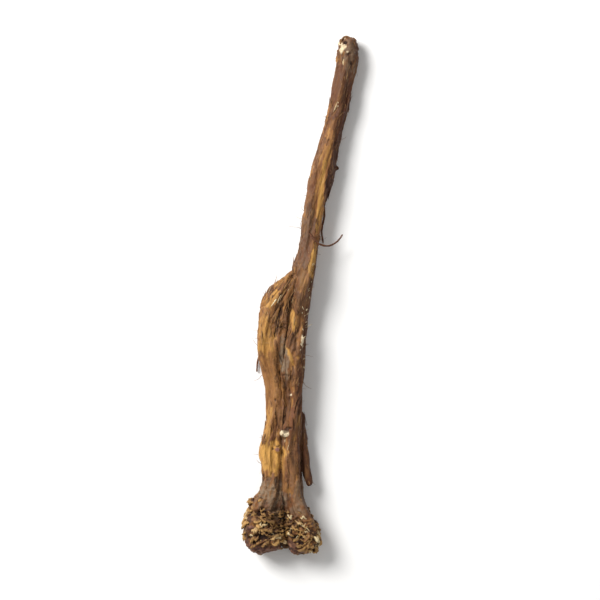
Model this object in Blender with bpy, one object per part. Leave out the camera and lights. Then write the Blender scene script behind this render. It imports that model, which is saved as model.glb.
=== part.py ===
"""A dried dandelion root as it lies on a surface: a grooved taproot with a two-headed, scaly crown,
a short broken fork and a long tapering leg, with side roots, rootlets and scars.

The root grew as one piece, so it is one solid. It lies along Y with its crown at -Y, and +Z is up.
The origin is under the middle of its bounding box, on the surface. Stations are in millimetres.
"""

import math
import random

import bmesh
import bpy
from mathutils import Vector, noise

MM = 0.001

# Driving dimensions, in millimetres
LEG_SIDES = 26
RING_STEP = 2.15
SIDE_ROOT_SIDES = 10
TORN_SIDES = 8
CROWN_CAP = 2.6
TIP_CAP = 2.4
BROKEN_CAP = 1.1
SIDE_CAPS = (1.0, 0.6)
TORN_CAPS = (0.8, 0.5)
ROOTLET_STEP = 2.0
CLEAR_OF_SURFACE = 0.9
SURFACE_SPAN = 260.0
SURFACE_DEPTH = 12.0
WELD = 1e-6
# Edges that are sharper than this, in degrees, are shaded as edges
SHARP_ANGLE = 50.0

# Fixes each strand's wrinkles, and the crown's scales
LONG_SEED = 3.0
SHORT_SEED = 11.0
SIDE_SEED = 19.0
TORN_SEED = 30.0
SCALE_SEED = 7

# The skin's wrinkles: heights as shares of the local size, and the pattern's turns and lengths
WRINKLE_HEIGHT = 0.30
FURROW_DEPTH = 0.17
FURROW_WIDTH = 0.16
LUMP_HEIGHT = 0.12
WRINKLE_SPREAD = 1.35
FURROW_SPREAD = 1.7
LUMP_SPREAD = 0.5
WRINKLES_PER_METRE = 48.0
FURROWS_PER_METRE = 30.0
LUMPS_PER_METRE = 120.0
WINDING = 18.0

# Stations along each strand, from the crown to the far end: x, y, z, half width, half height
SHORT_LEG = (
    (-8.9, -74.9, 5.6, 4.6, 3.6),
    (-9.4, -73.0, 5.7, 5.3, 4.9),
    (-10.2, -69.7, 5.8, 5.9, 5.8),
    (-10.7, -65.9, 5.8, 5.8, 6.0),
    (-10.0, -62.2, 5.8, 5.0, 5.3),
    (-8.6, -59.0, 5.8, 3.9, 4.4),
    (-8.0, -55.0, 5.7, 3.3, 3.8),
    (-8.2, -50.0, 5.5, 3.4, 3.8),
    (-8.3, -45.5, 5.3, 4.0, 4.0),
    (-7.5, -39.5, 5.1, 3.6, 3.9),
    (-6.7, -33.2, 4.9, 3.3, 3.7),
    (-6.6, -26.9, 4.8, 3.2, 3.7),
    (-7.6, -21.4, 4.8, 3.5, 4.1),
    (-8.5, -16.0, 4.7, 4.1, 4.6),
    (-8.0, -10.1, 4.7, 4.3, 4.8),
    (-6.8, -5.0, 4.7, 4.4, 4.6),
    (-5.0, -0.6, 4.9, 4.0, 4.1),
    (-3.0, 3.2, 5.2, 3.2, 3.4),
    (-0.9, 6.9, 5.4, 2.1, 2.3),
)
LONG_LEG = (
    (2.2, -75.6, 4.7, 3.6, 3.2),
    (1.6, -73.8, 4.8, 4.7, 4.5),
    (0.8, -71.0, 5.0, 5.4, 5.1),
    (0.0, -67.2, 5.2, 4.7, 5.1),
    (-0.8, -63.4, 5.7, 3.5, 4.3),
    (-2.2, -59.6, 6.0, 3.3, 3.6),
    (-2.8, -55.0, 6.0, 3.3, 3.3),
    (-3.1, -50.0, 5.8, 3.2, 3.3),
    (-3.2, -44.0, 5.6, 3.2, 3.4),
    (-2.9, -38.5, 5.5, 3.3, 3.5),
    (-2.5, -32.0, 5.3, 3.4, 3.6),
    (-2.5, -26.0, 5.3, 3.5, 3.7),
    (-2.5, -20.0, 5.3, 3.5, 3.9),
    (-2.2, -14.0, 5.4, 3.6, 4.0),
    (-1.4, -8.0, 5.5, 3.6, 4.0),
    (-0.2, -1.7, 5.6, 3.5, 3.9),
    (0.8, 3.4, 5.7, 3.5, 3.8),
    (1.5, 7.8, 5.6, 3.7, 3.7),
    (2.3, 12.2, 5.5, 3.4, 3.4),
    (3.2, 18.1, 5.3, 3.1, 3.2),
    (4.2, 24.4, 5.1, 3.2, 3.2),
    (5.6, 31.9, 4.8, 3.4, 3.3),
    (7.5, 39.5, 4.5, 3.2, 3.1),
    (9.5, 46.6, 4.2, 2.9, 2.9),
    (11.1, 53.8, 3.9, 2.9, 2.9),
    (12.7, 62.2, 3.6, 2.95, 3.0),
    (14.1, 69.7, 3.4, 3.4, 3.45),
    (14.1, 73.4, 3.5, 3.2, 3.2),
    (13.8, 76.6, 3.6, 2.9, 2.7),
)

# The strip that runs beside the neck and its broken end
SIDE_ROOT = (
    (-1.6, -31.0, 4.2, 1.0, 1.0),
    (-0.6, -36.5, 4.0, 1.5, 1.4),
    (0.3, -42.2, 4.0, 1.5, 1.4),
    (1.2, -47.9, 4.2, 1.4, 1.2),
    (2.0, -52.4, 4.5, 1.2, 1.0),
    (3.0, -55.6, 4.7, 0.8, 0.7),
)
# Torn fibres that end the short leg: each a strip from inside the leg to its frayed tip
TORN_STRIPS = (
    ((-9.8, -8.0, 6.4, 1.5, 1.3), (-8.6, -2.4, 7.0, 1.4, 1.1), (-6.6, 1.9, 6.8, 0.7, 0.6)),
    ((-7.6, -7.0, 8.3, 1.3, 1.1), (-6.0, -0.8, 8.2, 1.3, 1.0), (-3.6, 4.6, 7.4, 0.7, 0.6)),
    ((-5.6, -8.0, 8.6, 1.2, 1.0), (-4.2, -1.0, 8.7, 1.2, 0.9), (-1.6, 5.4, 8.1, 0.7, 0.6)),
    ((-10.4, -7.6, 4.6, 1.4, 1.3), (-9.0, -2.0, 4.4, 1.2, 1.1), (-7.0, 1.6, 4.2, 0.6, 0.5)),
    ((-6.2, -4.0, 3.6, 1.6, 1.3), (-4.4, 2.4, 3.3, 1.3, 1.0), (-2.2, 6.6, 3.4, 0.6, 0.5)),
)
# Thin roots: points x, y, z from inside the body outwards, then the radius
ROOTLETS = (
    (((2.7, 18.6, 7.6), (3.9, 17.0, 8.7), (6.0, 15.2, 8.6), (8.6, 14.9, 7.7), (11.0, 16.2, 6.6),
      (12.6, 18.3, 5.6)), 0.42),
    (((-7.0, -28.0, 2.4), (-8.6, -30.5, 1.5), (-9.3, -34.5, 1.0), (-8.4, -38.6, 0.75),
      (-7.0, -41.5, 0.75)), 0.5),
    (((5.0, 30.0, 2.6), (6.6, 28.0, 1.5), (7.2, 24.0, 0.8), (6.4, 19.6, 0.7), (6.9, 15.6, 0.7)), 0.45),
    (((-8.6, -14.0, 2.6), (-10.8, -15.6, 1.4), (-12.4, -18.6, 0.8), (-12.8, -22.4, 0.7)), 0.45),
)
# Along a thin root its radius falls from the first share to the second
ROOTLET_TAPER = (1.15, 0.75)
# Scars where side roots broke away: x, y, z, radius, and the way each stub points
SCARS = (
    ((-4.4, -40.3, 8.4), 1.15, (0.1, -0.2, 1.0)),
    ((-6.6, -44.9, 8.8), 0.95, (-0.1, 0.0, 1.0)),
    ((-2.6, -22.4, 8.8), 1.1, (0.3, 0.1, 1.0)),
    ((0.8, -12.6, 8.0), 0.9, (0.8, 0.0, 0.7)),
    ((-2.8, -29.2, 8.5), 0.7, (0.2, 0.0, 1.0)),
    ((4.9, 18.0, 8.0), 0.7, (0.2, 0.1, 1.0)),
    ((9.6, 60.0, 4.6), 0.8, (-1.0, 0.1, 0.4)),
    ((11.4, 38.0, 3.8), 0.8, (1.0, 0.2, 0.1)),
    ((-11.6, -45.0, 4.2), 0.9, (-1.0, 0.1, 0.0)),
)
# Crown scales on each head: how many, and the stretch of the strand that they cover, in millimetres
SCALES = ((32, 1.2, 14.5), (25, 1.0, 11.5))
GOLDEN_ANGLE = math.pi * (3 - math.sqrt(5))
SCALE_TURN_JITTER = 0.25
SCALE_SIDES = 4
SCALE_THICKNESS = 0.78
SCALE_LENGTH = (2.7, 3.7)
SCALE_HALF_WIDTH = (1.15, 1.85)
# Along a scale: the share of its half width at each of its sections
SCALE_SECTIONS = (0.8, 1.0, 0.95, 0.6)
# How deep a scale's foot lies in the head, as a share of the head's local size
SCALE_FOOT = 0.2
# The way a scale points: shares towards the crown's end, off the skin, and to a side
SCALE_FORWARD = (0.7, 1.0)
SCALE_RISE = (0.4, 0.62)
SCALE_LEAN = (-0.35, 0.35)
# How its end curls, as a share of its length: off the skin and towards the crown's end
SCALE_CURL = 0.4
SCALE_CURL_OFF = (-0.1, 0.5)
SCALE_CURL_ON = (-0.3, 0.2)
# Rings in a rounded end, as shares of its length
CAP_RINGS = (0.0, 0.1, 0.38, 0.8)
# Along a broken stub: distance from the skin and radius, both as shares of its radius
STUB_SECTIONS = ((-1.6, 1.2), (-0.2, 1.1), (0.2, 0.95), (0.45, 0.65))

UP = Vector((0.0, 0.0, 1.0))
BARK = (0.25, 0.13, 0.065, 1.0)
BARK_ROUGHNESS = 0.72


class Strand:
    """A limb of the root: a smooth spine through stations, each with a half width and a half height."""

    def __init__(self, stations):
        self.rows = [Vector(value * MM for value in row) for row in stations]
        self.runs = [0.0]
        for a, b in zip(self.rows, self.rows[1:]):
            self.runs.append(self.runs[-1] + (Vector(b[:3]) - Vector(a[:3])).length)
        self.length = self.runs[-1]

    def row(self, run):
        """The five station values at a distance along the spine, on a Catmull-Rom curve."""
        last = len(self.rows) - 1
        k = max(i for i in range(last) if self.runs[i] <= run or i == 0)
        t = (run - self.runs[k]) / (self.runs[k + 1] - self.runs[k])
        p0, p1, p2, p3 = (self.rows[min(max(i, 0), last)] for i in (k - 1, k, k + 1, k + 2))
        bend = 2 * p0 - 5 * p1 + 4 * p2 - p3
        turn = 3 * p1 - 3 * p2 + p3 - p0
        return (2 * p1 + (p2 - p0) * t + bend * t**2 + turn * t**3) / 2

    def axes(self, run):
        """The directions along, across and up from the spine."""
        step = self.length / 200
        behind = self.row(max(run - step, 0.0))
        before = self.row(min(run + step, self.length))
        ahead = (Vector(before[:3]) - Vector(behind[:3])).normalized()
        across = ahead.cross(UP).normalized()
        return ahead, across, across.cross(ahead)

    def point(self, run, angle, lift=0.0, share=1.0):
        """A point of the skin, raised by a share of the local size and drawn in towards the spine."""
        row = self.row(run)
        _, across, up = self.axes(run)
        section = across * (row[3] * math.cos(angle)) + up * (row[4] * math.sin(angle))
        return Vector(row[:3]) + section * ((1 + lift) * share)

    def outward(self, run, angle):
        """The direction away from the spine."""
        _, across, up = self.axes(run)
        return across * math.cos(angle) + up * math.sin(angle)


def relief(run, angle, seed):
    """How far the skin stands in or out: long wrinkles that wind slowly round, over broad lumps."""
    winding = angle + WINDING * run

    def pattern(turn, spread, per_metre, offset):
        where = Vector((spread * math.cos(turn), spread * math.sin(turn), per_metre * run + offset))
        return noise.noise(where)

    wrinkle = pattern(winding, WRINKLE_SPREAD, WRINKLES_PER_METRE, seed)
    furrow = abs(pattern(winding, FURROW_SPREAD, FURROWS_PER_METRE, -seed))
    lump = pattern(angle, LUMP_SPREAD, LUMPS_PER_METRE, 2 * seed)
    depth = FURROW_DEPTH * max(0.0, 1 - furrow / FURROW_WIDTH)
    return WRINKLE_HEIGHT * wrinkle + LUMP_HEIGHT * lump - depth


def sweep(name, runs, sides, place, open_ends=False):
    """A closed skin on a grid that is wrapped round a spine: place(run, angle) gives each point."""
    shape = bmesh.new()
    bmesh.ops.create_grid(shape, x_segments=len(runs) - 1, y_segments=sides, size=1.0)
    for corner in shape.verts:
        ring = round((corner.co.x + 1) / 2 * (len(runs) - 1))
        side = round((corner.co.y + 1) / 2 * sides) % sides
        corner.co = place(runs[ring], math.tau * side / sides)
    bmesh.ops.remove_doubles(shape, verts=shape.verts, dist=WELD)
    if open_ends:
        bmesh.ops.holes_fill(shape, edges=[edge for edge in shape.edges if edge.is_boundary])
    bmesh.ops.recalc_face_normals(shape, faces=shape.faces)
    mesh = bpy.data.meshes.new(name)
    shape.to_mesh(mesh)
    shape.free()
    return bpy.data.objects.new(name, mesh)


def ring_runs(length, cap_start, cap_end):
    """Where the rings of a limb stand: close together in its rounded ends, evenly between."""
    start = [share * cap_start for share in CAP_RINGS]
    finish = [length - share * cap_end for share in reversed(CAP_RINGS)]
    count = max(1, round((finish[0] - start[-1]) / (RING_STEP * MM)))
    gap = (finish[0] - start[-1]) / count
    return start + [start[-1] + gap * k for k in range(1, count)] + finish


def closing(run, length, cap_start, cap_end):
    """The share of the full section that is left at a distance from a rounded end."""
    near = min(run / cap_start, (length - run) / cap_end, 1.0)
    return math.sqrt(max(0.0, 1 - (1 - near) ** 2))


def limb(name, stations, sides, caps, seed):
    """A strand as a wrinkled solid with rounded ends."""
    strand = Strand(stations)
    cap_start, cap_end = (cap * MM for cap in caps)

    def place(run, angle):
        share = closing(run, strand.length, cap_start, cap_end)
        return strand.point(run, angle, relief(run, angle, seed), share)

    return sweep(name, ring_runs(strand.length, cap_start, cap_end), sides, place)


def scale(name, strand, run, angle, dice):
    """One scale: a short, wide ledge that starts inside the head and curls up off it."""
    length = dice.uniform(*SCALE_LENGTH) * MM
    width = dice.uniform(*SCALE_HALF_WIDTH) * MM
    out = strand.outward(run, angle)
    crownwards = -strand.axes(run)[0]
    heading = out.cross(crownwards) * dice.uniform(*SCALE_LEAN)
    heading += crownwards * dice.uniform(*SCALE_FORWARD)
    heading += out * dice.uniform(*SCALE_RISE)
    heading.normalize()
    curl = out * dice.uniform(*SCALE_CURL_OFF) + crownwards * dice.uniform(*SCALE_CURL_ON)
    curl *= length * SCALE_CURL
    foot = strand.point(run, angle, -SCALE_FOOT)
    sunk = CLEAR_OF_SURFACE * MM - (foot + heading * length + curl).z
    heading += UP * (max(0.0, sunk) / length)
    flat = heading.cross(out).normalized()
    thick = flat.cross(heading).normalized()
    last = len(SCALE_SECTIONS) - 1

    def place(ring, turn):
        share = ring / last
        centre = foot + heading * (length * share) + curl * share**2
        # The four corners of a flat section stand between the quarter turns
        to_side = math.copysign(width * SCALE_SECTIONS[ring], math.cos(turn + math.pi / 4))
        to_face = math.copysign(SCALE_THICKNESS * MM / 2, math.sin(turn + math.pi / 4))
        return centre + flat * to_side + thick * to_face

    return sweep(name, range(last + 1), SCALE_SIDES, place, open_ends=True)


def crown_scales(strand, count, start, end, dice, label):
    """Scales in a golden-angle spiral over a head, unevenly turned like torn leaf bases."""
    made = []
    for k in range(count):
        run = (start + (end - start) * (k + 0.5) / count) * MM
        angle = k * GOLDEN_ANGLE + dice.uniform(-SCALE_TURN_JITTER, SCALE_TURN_JITTER)
        made.append(scale(f"{label}_scale_{k}", strand, run, angle, dice))
    return made


def tube(name, points, radii):
    """A thin root as a bevelled curve with closed ends, turned into a mesh."""
    line = bpy.data.curves.new(name, "CURVE")
    line.dimensions = "3D"
    line.bevel_depth = 1.0
    # One step of resolution gives six sides
    line.bevel_resolution = 1
    line.use_fill_caps = True
    spline = line.splines.new("POLY")
    spline.points.add(len(points) - 1)
    for knot, point, radius in zip(spline.points, points, radii):
        knot.co = (*point, 1.0)
        knot.radius = radius
    guide = bpy.data.objects.new(name + "_line", line)
    bpy.context.scene.collection.objects.link(guide)
    evaluated = guide.evaluated_get(bpy.context.evaluated_depsgraph_get())
    mesh = bpy.data.meshes.new_from_object(evaluated)
    bpy.data.objects.remove(guide)
    shape = bmesh.new()
    shape.from_mesh(mesh)
    bmesh.ops.remove_doubles(shape, verts=shape.verts, dist=WELD)
    bmesh.ops.recalc_face_normals(shape, faces=shape.faces)
    shape.to_mesh(mesh)
    shape.free()
    return bpy.data.objects.new(name, mesh)


def rootlet(name, points, radius):
    """A thin root that tapers along a smooth line through its points."""
    spine = Strand([(*point, radius, radius) for point in points])
    count = round(spine.length / (ROOTLET_STEP * MM))
    rows = [spine.row(spine.length * k / count) for k in range(count + 1)]
    thick, thin = (share * radius * MM for share in ROOTLET_TAPER)
    radii = [thick + (thin - thick) * k / count for k in range(count + 1)]
    return tube(name, [row[:3] for row in rows], radii)


def scar(name, place, radius, heading):
    """The stub of a side root that broke away."""
    foot, along = Vector(place) * MM, Vector(heading).normalized()
    points = [foot + along * (depth * radius * MM) for depth, _ in STUB_SECTIONS]
    return tube(name, points, [radius * MM * share for _, share in STUB_SECTIONS])


def fuse(body, growths):
    """Joins every growth to the body with one Boolean union, then removes the growths."""
    union = body.modifiers.new("growths", "BOOLEAN")
    union.operation = "UNION"
    union.operand_type = "COLLECTION"
    union.collection = growths
    bpy.context.view_layer.update()
    evaluated = body.evaluated_get(bpy.context.evaluated_depsgraph_get())
    joined = bpy.data.meshes.new_from_object(evaluated)
    body.modifiers.clear()
    body.data = joined
    for growth in list(growths.objects):
        bpy.data.objects.remove(growth)
    bpy.data.collections.remove(growths)


def centre(body):
    """Moves the root so that the middle of its bounding box is over the origin."""
    for axis in (0, 1):
        values = [corner.co[axis] for corner in body.data.vertices]
        middle = (min(values) + max(values)) / 2
        for corner in body.data.vertices:
            corner.co[axis] -= middle


def keep_outer_skin(body):
    """Keeps only the largest skin, which fills sealed hollows and drops loose scraps."""
    shape = bmesh.new()
    shape.from_mesh(body.data)
    unseen = set(shape.verts)
    skins = []
    while unseen:
        skin, edge_of_skin = set(), [unseen.pop()]
        while edge_of_skin:
            corner = edge_of_skin.pop()
            skin.add(corner)
            for edge in corner.link_edges:
                other = edge.other_vert(corner)
                if other in unseen:
                    unseen.discard(other)
                    edge_of_skin.append(other)
        skins.append(skin)
    largest = max(skins, key=len)
    spare = [corner for skin in skins if skin is not largest for corner in skin]
    bmesh.ops.delete(shape, geom=spare, context="VERTS")
    shape.to_mesh(body.data)
    shape.free()


def rest_on_surface(body, cutters):
    """Cuts small flat spots where the root rests, with a slab whose top is the surface it lies on."""
    bpy.ops.mesh.primitive_cube_add(size=1.0)
    slab = bpy.context.active_object
    slab.name = "surface_cutter"
    slab.scale = (SURFACE_SPAN * MM, SURFACE_SPAN * MM, SURFACE_DEPTH * MM)
    slab.location = (0.0, 0.0, -SURFACE_DEPTH * MM / 2)
    slab.hide_render = True
    slab.display_type = "WIRE"
    for collection in slab.users_collection:
        collection.objects.unlink(slab)
    cutters.objects.link(slab)
    cut = body.modifiers.new("flat_spots", "BOOLEAN")
    cut.operation = "DIFFERENCE"
    cut.object = slab


def bark():
    """Dry, wrinkled brown bark."""
    material = bpy.data.materials.new("bark")
    material.use_nodes = True
    shader = material.node_tree.nodes["Principled BSDF"]
    shader.inputs["Base Color"].default_value = BARK
    shader.inputs["Roughness"].default_value = BARK_ROUGHNESS
    shader.inputs["Metallic"].default_value = 0.0
    return material


def collection_of(name):
    """A new collection in the scene."""
    made = bpy.data.collections.new(name)
    bpy.context.scene.collection.children.link(made)
    return made


def main():
    """Builds the root."""
    for thing in list(bpy.data.objects):
        bpy.data.objects.remove(thing)
    part = collection_of("dandelion_root")
    growths = collection_of("growths")
    cutters = collection_of("cutters")
    dice = random.Random(SCALE_SEED)

    body = limb("dandelion_root", LONG_LEG, LEG_SIDES, (CROWN_CAP, TIP_CAP), LONG_SEED)
    part.objects.link(body)
    growths.objects.link(limb("short_leg", SHORT_LEG, LEG_SIDES, (CROWN_CAP, BROKEN_CAP), SHORT_SEED))
    growths.objects.link(limb("side_root", SIDE_ROOT, SIDE_ROOT_SIDES, SIDE_CAPS, SIDE_SEED))
    for k, strip in enumerate(TORN_STRIPS):
        growths.objects.link(limb(f"torn_{k}", strip, TORN_SIDES, TORN_CAPS, TORN_SEED + k))
    for k, (points, radius) in enumerate(ROOTLETS):
        growths.objects.link(rootlet(f"rootlet_{k}", points, radius))
    for k, (place, radius, heading) in enumerate(SCARS):
        growths.objects.link(scar(f"scar_{k}", place, radius, heading))
    for stations, (count, start, end), label in zip((SHORT_LEG, LONG_LEG), SCALES, ("left", "right")):
        for made in crown_scales(Strand(stations), count, start, end, dice, label):
            growths.objects.link(made)

    fuse(body, growths)
    keep_outer_skin(body)
    centre(body)
    rest_on_surface(body, cutters)
    body.data.materials.clear()
    body.data.materials.append(bark())
    body.data.shade_smooth()
    body.data.set_sharp_from_angle(angle=math.radians(SHARP_ANGLE))


main()
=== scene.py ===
import itertools
import logging
import math
import random
from dataclasses import dataclass, field
from enum import Enum
from typing import Callable, Optional, Sequence

import bmesh
import bpy
import numpy as np
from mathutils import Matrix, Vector, noise


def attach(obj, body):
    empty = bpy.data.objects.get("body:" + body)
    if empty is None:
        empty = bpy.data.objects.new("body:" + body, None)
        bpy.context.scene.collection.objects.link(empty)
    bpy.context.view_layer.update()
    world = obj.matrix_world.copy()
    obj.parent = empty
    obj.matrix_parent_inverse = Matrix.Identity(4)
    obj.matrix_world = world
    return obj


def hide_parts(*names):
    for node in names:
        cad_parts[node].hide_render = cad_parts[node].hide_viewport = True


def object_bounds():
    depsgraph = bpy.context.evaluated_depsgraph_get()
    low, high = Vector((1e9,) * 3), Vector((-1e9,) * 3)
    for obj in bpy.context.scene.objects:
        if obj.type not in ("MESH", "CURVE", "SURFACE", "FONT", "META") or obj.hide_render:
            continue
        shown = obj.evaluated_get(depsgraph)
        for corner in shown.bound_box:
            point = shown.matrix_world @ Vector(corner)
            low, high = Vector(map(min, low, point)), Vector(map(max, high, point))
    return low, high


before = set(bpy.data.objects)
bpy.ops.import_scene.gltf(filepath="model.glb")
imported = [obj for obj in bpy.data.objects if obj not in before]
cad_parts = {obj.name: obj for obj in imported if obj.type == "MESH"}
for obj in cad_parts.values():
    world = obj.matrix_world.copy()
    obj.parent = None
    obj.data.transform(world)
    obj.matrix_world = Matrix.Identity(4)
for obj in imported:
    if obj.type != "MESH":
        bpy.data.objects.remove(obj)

# The dressed dandelion root: fine bark, crown scales, torn fibres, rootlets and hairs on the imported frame.
# Stations and places are in the root's own millimetres, as in its source, and MIDDLE moves them to the frame.

Triple = tuple[float, float, float]
Station = tuple[float, float, float, float, float]
Stretch = tuple[tuple[float, float], tuple[float, float]]

LOG = logging.getLogger("dandelion_root")
CAD_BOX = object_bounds()

MM = 0.001
NODE = "dandelion_root"
BODY = "root"
# The source moves its strands by this much, so that its box is centred
MIDDLE = (0.016, 1.056, 0.0)
UP = Vector((0.0, 0.0, 1.0))
GOLDEN_ANGLE = math.pi * (3 - math.sqrt(5))
# Each strand's patterns start this much further on, in millimetres
STRAND_GAP = 200.0
# A thin root's rings: the fewest, and the distance between them in millimetres
FEWEST_RINGS = 5
RING_GAP = 0.45
# The fine pieces stay this far above the surface, in millimetres
LOWEST = 0.03
# Points nearer than this are one, in metres
SEAM_GAP = 2e-6
# The rings of a rounded end, as shares of its length
CAP_RINGS = (0.0, 0.03, 0.12, 0.3, 0.6)
# A stub's rings: how far each stands out of the skin and its radius, both as shares of the stub's radius
STUB_RINGS = ((-1.6, 0.0), (-1.5, 1.2), (-0.2, 1.05), (0.15, 0.9), (0.35, 0.65), (0.4, 0.0))
STUB_SIDES = 16

# The strands: across, along, height, half width and half height at each station
SHORT_LEG: tuple[Station, ...] = (
    (-8.9, -74.9, 5.6, 4.6, 3.6),
    (-9.4, -73.0, 5.7, 5.3, 4.9),
    (-10.2, -69.7, 5.8, 5.9, 5.8),
    (-10.7, -65.9, 5.8, 5.8, 6.0),
    (-10.0, -62.2, 5.8, 5.0, 5.3),
    (-8.6, -59.0, 5.8, 3.9, 4.4),
    (-8.0, -55.0, 5.7, 3.3, 3.8),
    (-8.2, -50.0, 5.5, 3.4, 3.8),
    (-8.3, -45.5, 5.3, 4.0, 4.0),
    (-7.5, -39.5, 5.1, 3.6, 3.9),
    (-6.7, -33.2, 4.9, 3.3, 3.7),
    (-6.6, -26.9, 4.8, 3.2, 3.7),
    (-7.6, -21.4, 4.8, 3.5, 4.1),
    (-8.5, -16.0, 4.7, 4.1, 4.6),
    (-8.0, -10.1, 4.7, 4.3, 4.8),
    (-6.8, -5.0, 4.7, 4.4, 4.6),
    (-5.0, -0.6, 4.9, 4.0, 4.1),
    (-3.0, 3.2, 5.2, 3.2, 3.4),
    (-0.9, 6.9, 5.4, 2.1, 2.3),
)
LONG_LEG: tuple[Station, ...] = (
    (2.2, -75.6, 4.7, 3.6, 3.2),
    (1.6, -73.8, 4.8, 4.7, 4.5),
    (0.8, -71.0, 5.0, 5.4, 5.1),
    (0.0, -67.2, 5.2, 4.7, 5.1),
    (-0.8, -63.4, 5.7, 3.5, 4.3),
    (-2.2, -59.6, 6.0, 3.3, 3.6),
    (-2.8, -55.0, 6.0, 3.3, 3.3),
    (-3.1, -50.0, 5.8, 3.2, 3.3),
    (-3.2, -44.0, 5.6, 3.2, 3.4),
    (-2.9, -38.5, 5.5, 3.3, 3.5),
    (-2.5, -32.0, 5.3, 3.4, 3.6),
    (-2.5, -26.0, 5.3, 3.5, 3.7),
    (-2.5, -20.0, 5.3, 3.5, 3.9),
    (-2.2, -14.0, 5.4, 3.6, 4.0),
    (-1.4, -8.0, 5.5, 3.6, 4.0),
    (-0.2, -1.7, 5.6, 3.5, 3.9),
    (0.8, 3.4, 5.7, 3.5, 3.8),
    (1.5, 7.8, 5.6, 3.7, 3.7),
    (2.3, 12.2, 5.5, 3.4, 3.4),
    (3.2, 18.1, 5.3, 3.1, 3.2),
    (4.2, 24.4, 5.1, 3.2, 3.2),
    (5.6, 31.9, 4.8, 3.4, 3.3),
    (7.5, 39.5, 4.5, 3.2, 3.1),
    (9.5, 46.6, 4.2, 2.9, 2.9),
    (11.1, 53.8, 3.9, 2.9, 2.9),
    (12.7, 62.2, 3.6, 2.95, 3.0),
    (14.1, 69.7, 3.4, 3.4, 3.45),
    (14.1, 73.4, 3.5, 3.2, 3.2),
    (13.8, 76.6, 3.6, 2.9, 2.7),
)
SIDE_ROOT: tuple[Station, ...] = (
    (-1.6, -31.0, 4.2, 1.0, 1.0),
    (-0.6, -36.5, 4.0, 1.5, 1.4),
    (0.3, -42.2, 4.0, 1.5, 1.4),
    (1.2, -47.9, 4.2, 1.4, 1.2),
    (2.0, -52.4, 4.5, 1.2, 1.0),
    (3.0, -55.6, 4.7, 0.8, 0.7),
)
TORN_STRIPS: tuple[tuple[Station, ...], ...] = (
    ((-9.8, -8.0, 6.4, 1.5, 1.3), (-8.6, -2.4, 7.0, 1.4, 1.1), (-6.6, 1.9, 6.8, 0.7, 0.6)),
    ((-7.6, -7.0, 8.3, 1.3, 1.1), (-6.0, -0.8, 8.2, 1.3, 1.0), (-3.6, 4.6, 7.4, 0.7, 0.6)),
    ((-5.6, -8.0, 8.6, 1.2, 1.0), (-4.2, -1.0, 8.7, 1.2, 0.9), (-1.6, 5.4, 8.1, 0.7, 0.6)),
    ((-10.4, -7.6, 4.6, 1.4, 1.3), (-9.0, -2.0, 4.4, 1.2, 1.1), (-7.0, 1.6, 4.2, 0.6, 0.5)),
    ((-6.2, -4.0, 3.6, 1.6, 1.3), (-4.4, 2.4, 3.3, 1.3, 1.0), (-2.2, 6.6, 3.4, 0.6, 0.5)),
)
# The thin roots: the points of each from inside the skin outwards, and its radius
ROOTLETS: tuple[tuple[tuple[Triple, ...], float], ...] = (
    (((2.7, 18.6, 7.6), (3.9, 17.0, 8.7), (6.0, 15.2, 8.6), (8.6, 14.9, 7.7), (11.0, 16.2, 6.6),
      (12.6, 18.3, 5.6)), 0.42),
    (((-7.0, -28.0, 2.4), (-8.6, -30.5, 1.5), (-9.3, -34.5, 1.0), (-8.4, -38.6, 0.75),
      (-7.0, -41.5, 0.75)), 0.5),
    (((5.0, 30.0, 2.6), (6.6, 28.0, 1.5), (7.2, 24.0, 0.8), (6.4, 19.6, 0.7), (6.9, 15.6, 0.7)), 0.45),
    (((-8.6, -14.0, 2.6), (-10.8, -15.6, 1.4), (-12.4, -18.6, 0.8), (-12.8, -22.4, 0.7)), 0.45),
)
# Where side roots broke away: the place, the radius, and the way that the stub points
SCARS: tuple[tuple[Triple, float, Triple], ...] = (
    ((-4.4, -40.3, 8.4), 1.15, (0.1, -0.2, 1.0)),
    ((-6.6, -44.9, 8.8), 0.95, (-0.1, 0.0, 1.0)),
    ((-2.6, -22.4, 8.8), 1.1, (0.3, 0.1, 1.0)),
    ((0.8, -12.6, 8.0), 0.9, (0.8, 0.0, 0.7)),
    ((-2.8, -29.2, 8.5), 0.7, (0.2, 0.0, 1.0)),
    ((4.9, 18.0, 8.0), 0.7, (0.2, 0.1, 1.0)),
    ((9.6, 60.0, 4.6), 0.8, (-1.0, 0.1, 0.4)),
    ((11.4, 38.0, 3.8), 0.8, (1.0, 0.2, 0.1)),
    ((-11.6, -45.0, 4.2), 0.9, (-1.0, 0.1, 0.0)),
)


def smooth_step(low: float, high: float, value: np.ndarray) -> np.ndarray:
    """A soft switch.

    Args:
        low: The value where the switch begins, which may be above high.
        high: The value where it is fully on.
        value: The values to switch.

    Returns:
        Zero at low, one at high, and a smooth rise between.
    """
    share = np.clip((value - low) / (high - low), 0.0, 1.0)
    return share * share * (3 - 2 * share)


def within(stretch: Stretch, y: np.ndarray) -> np.ndarray:
    """Says how fully places lie in a stretch of the root.

    Args:
        stretch: For each end of it, where it begins and where it is whole.
        y: The places along the root.

    Returns:
        A value from zero to one for each place.
    """
    first, last = stretch
    return smooth_step(*first, y) * smooth_step(*last, y)


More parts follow.
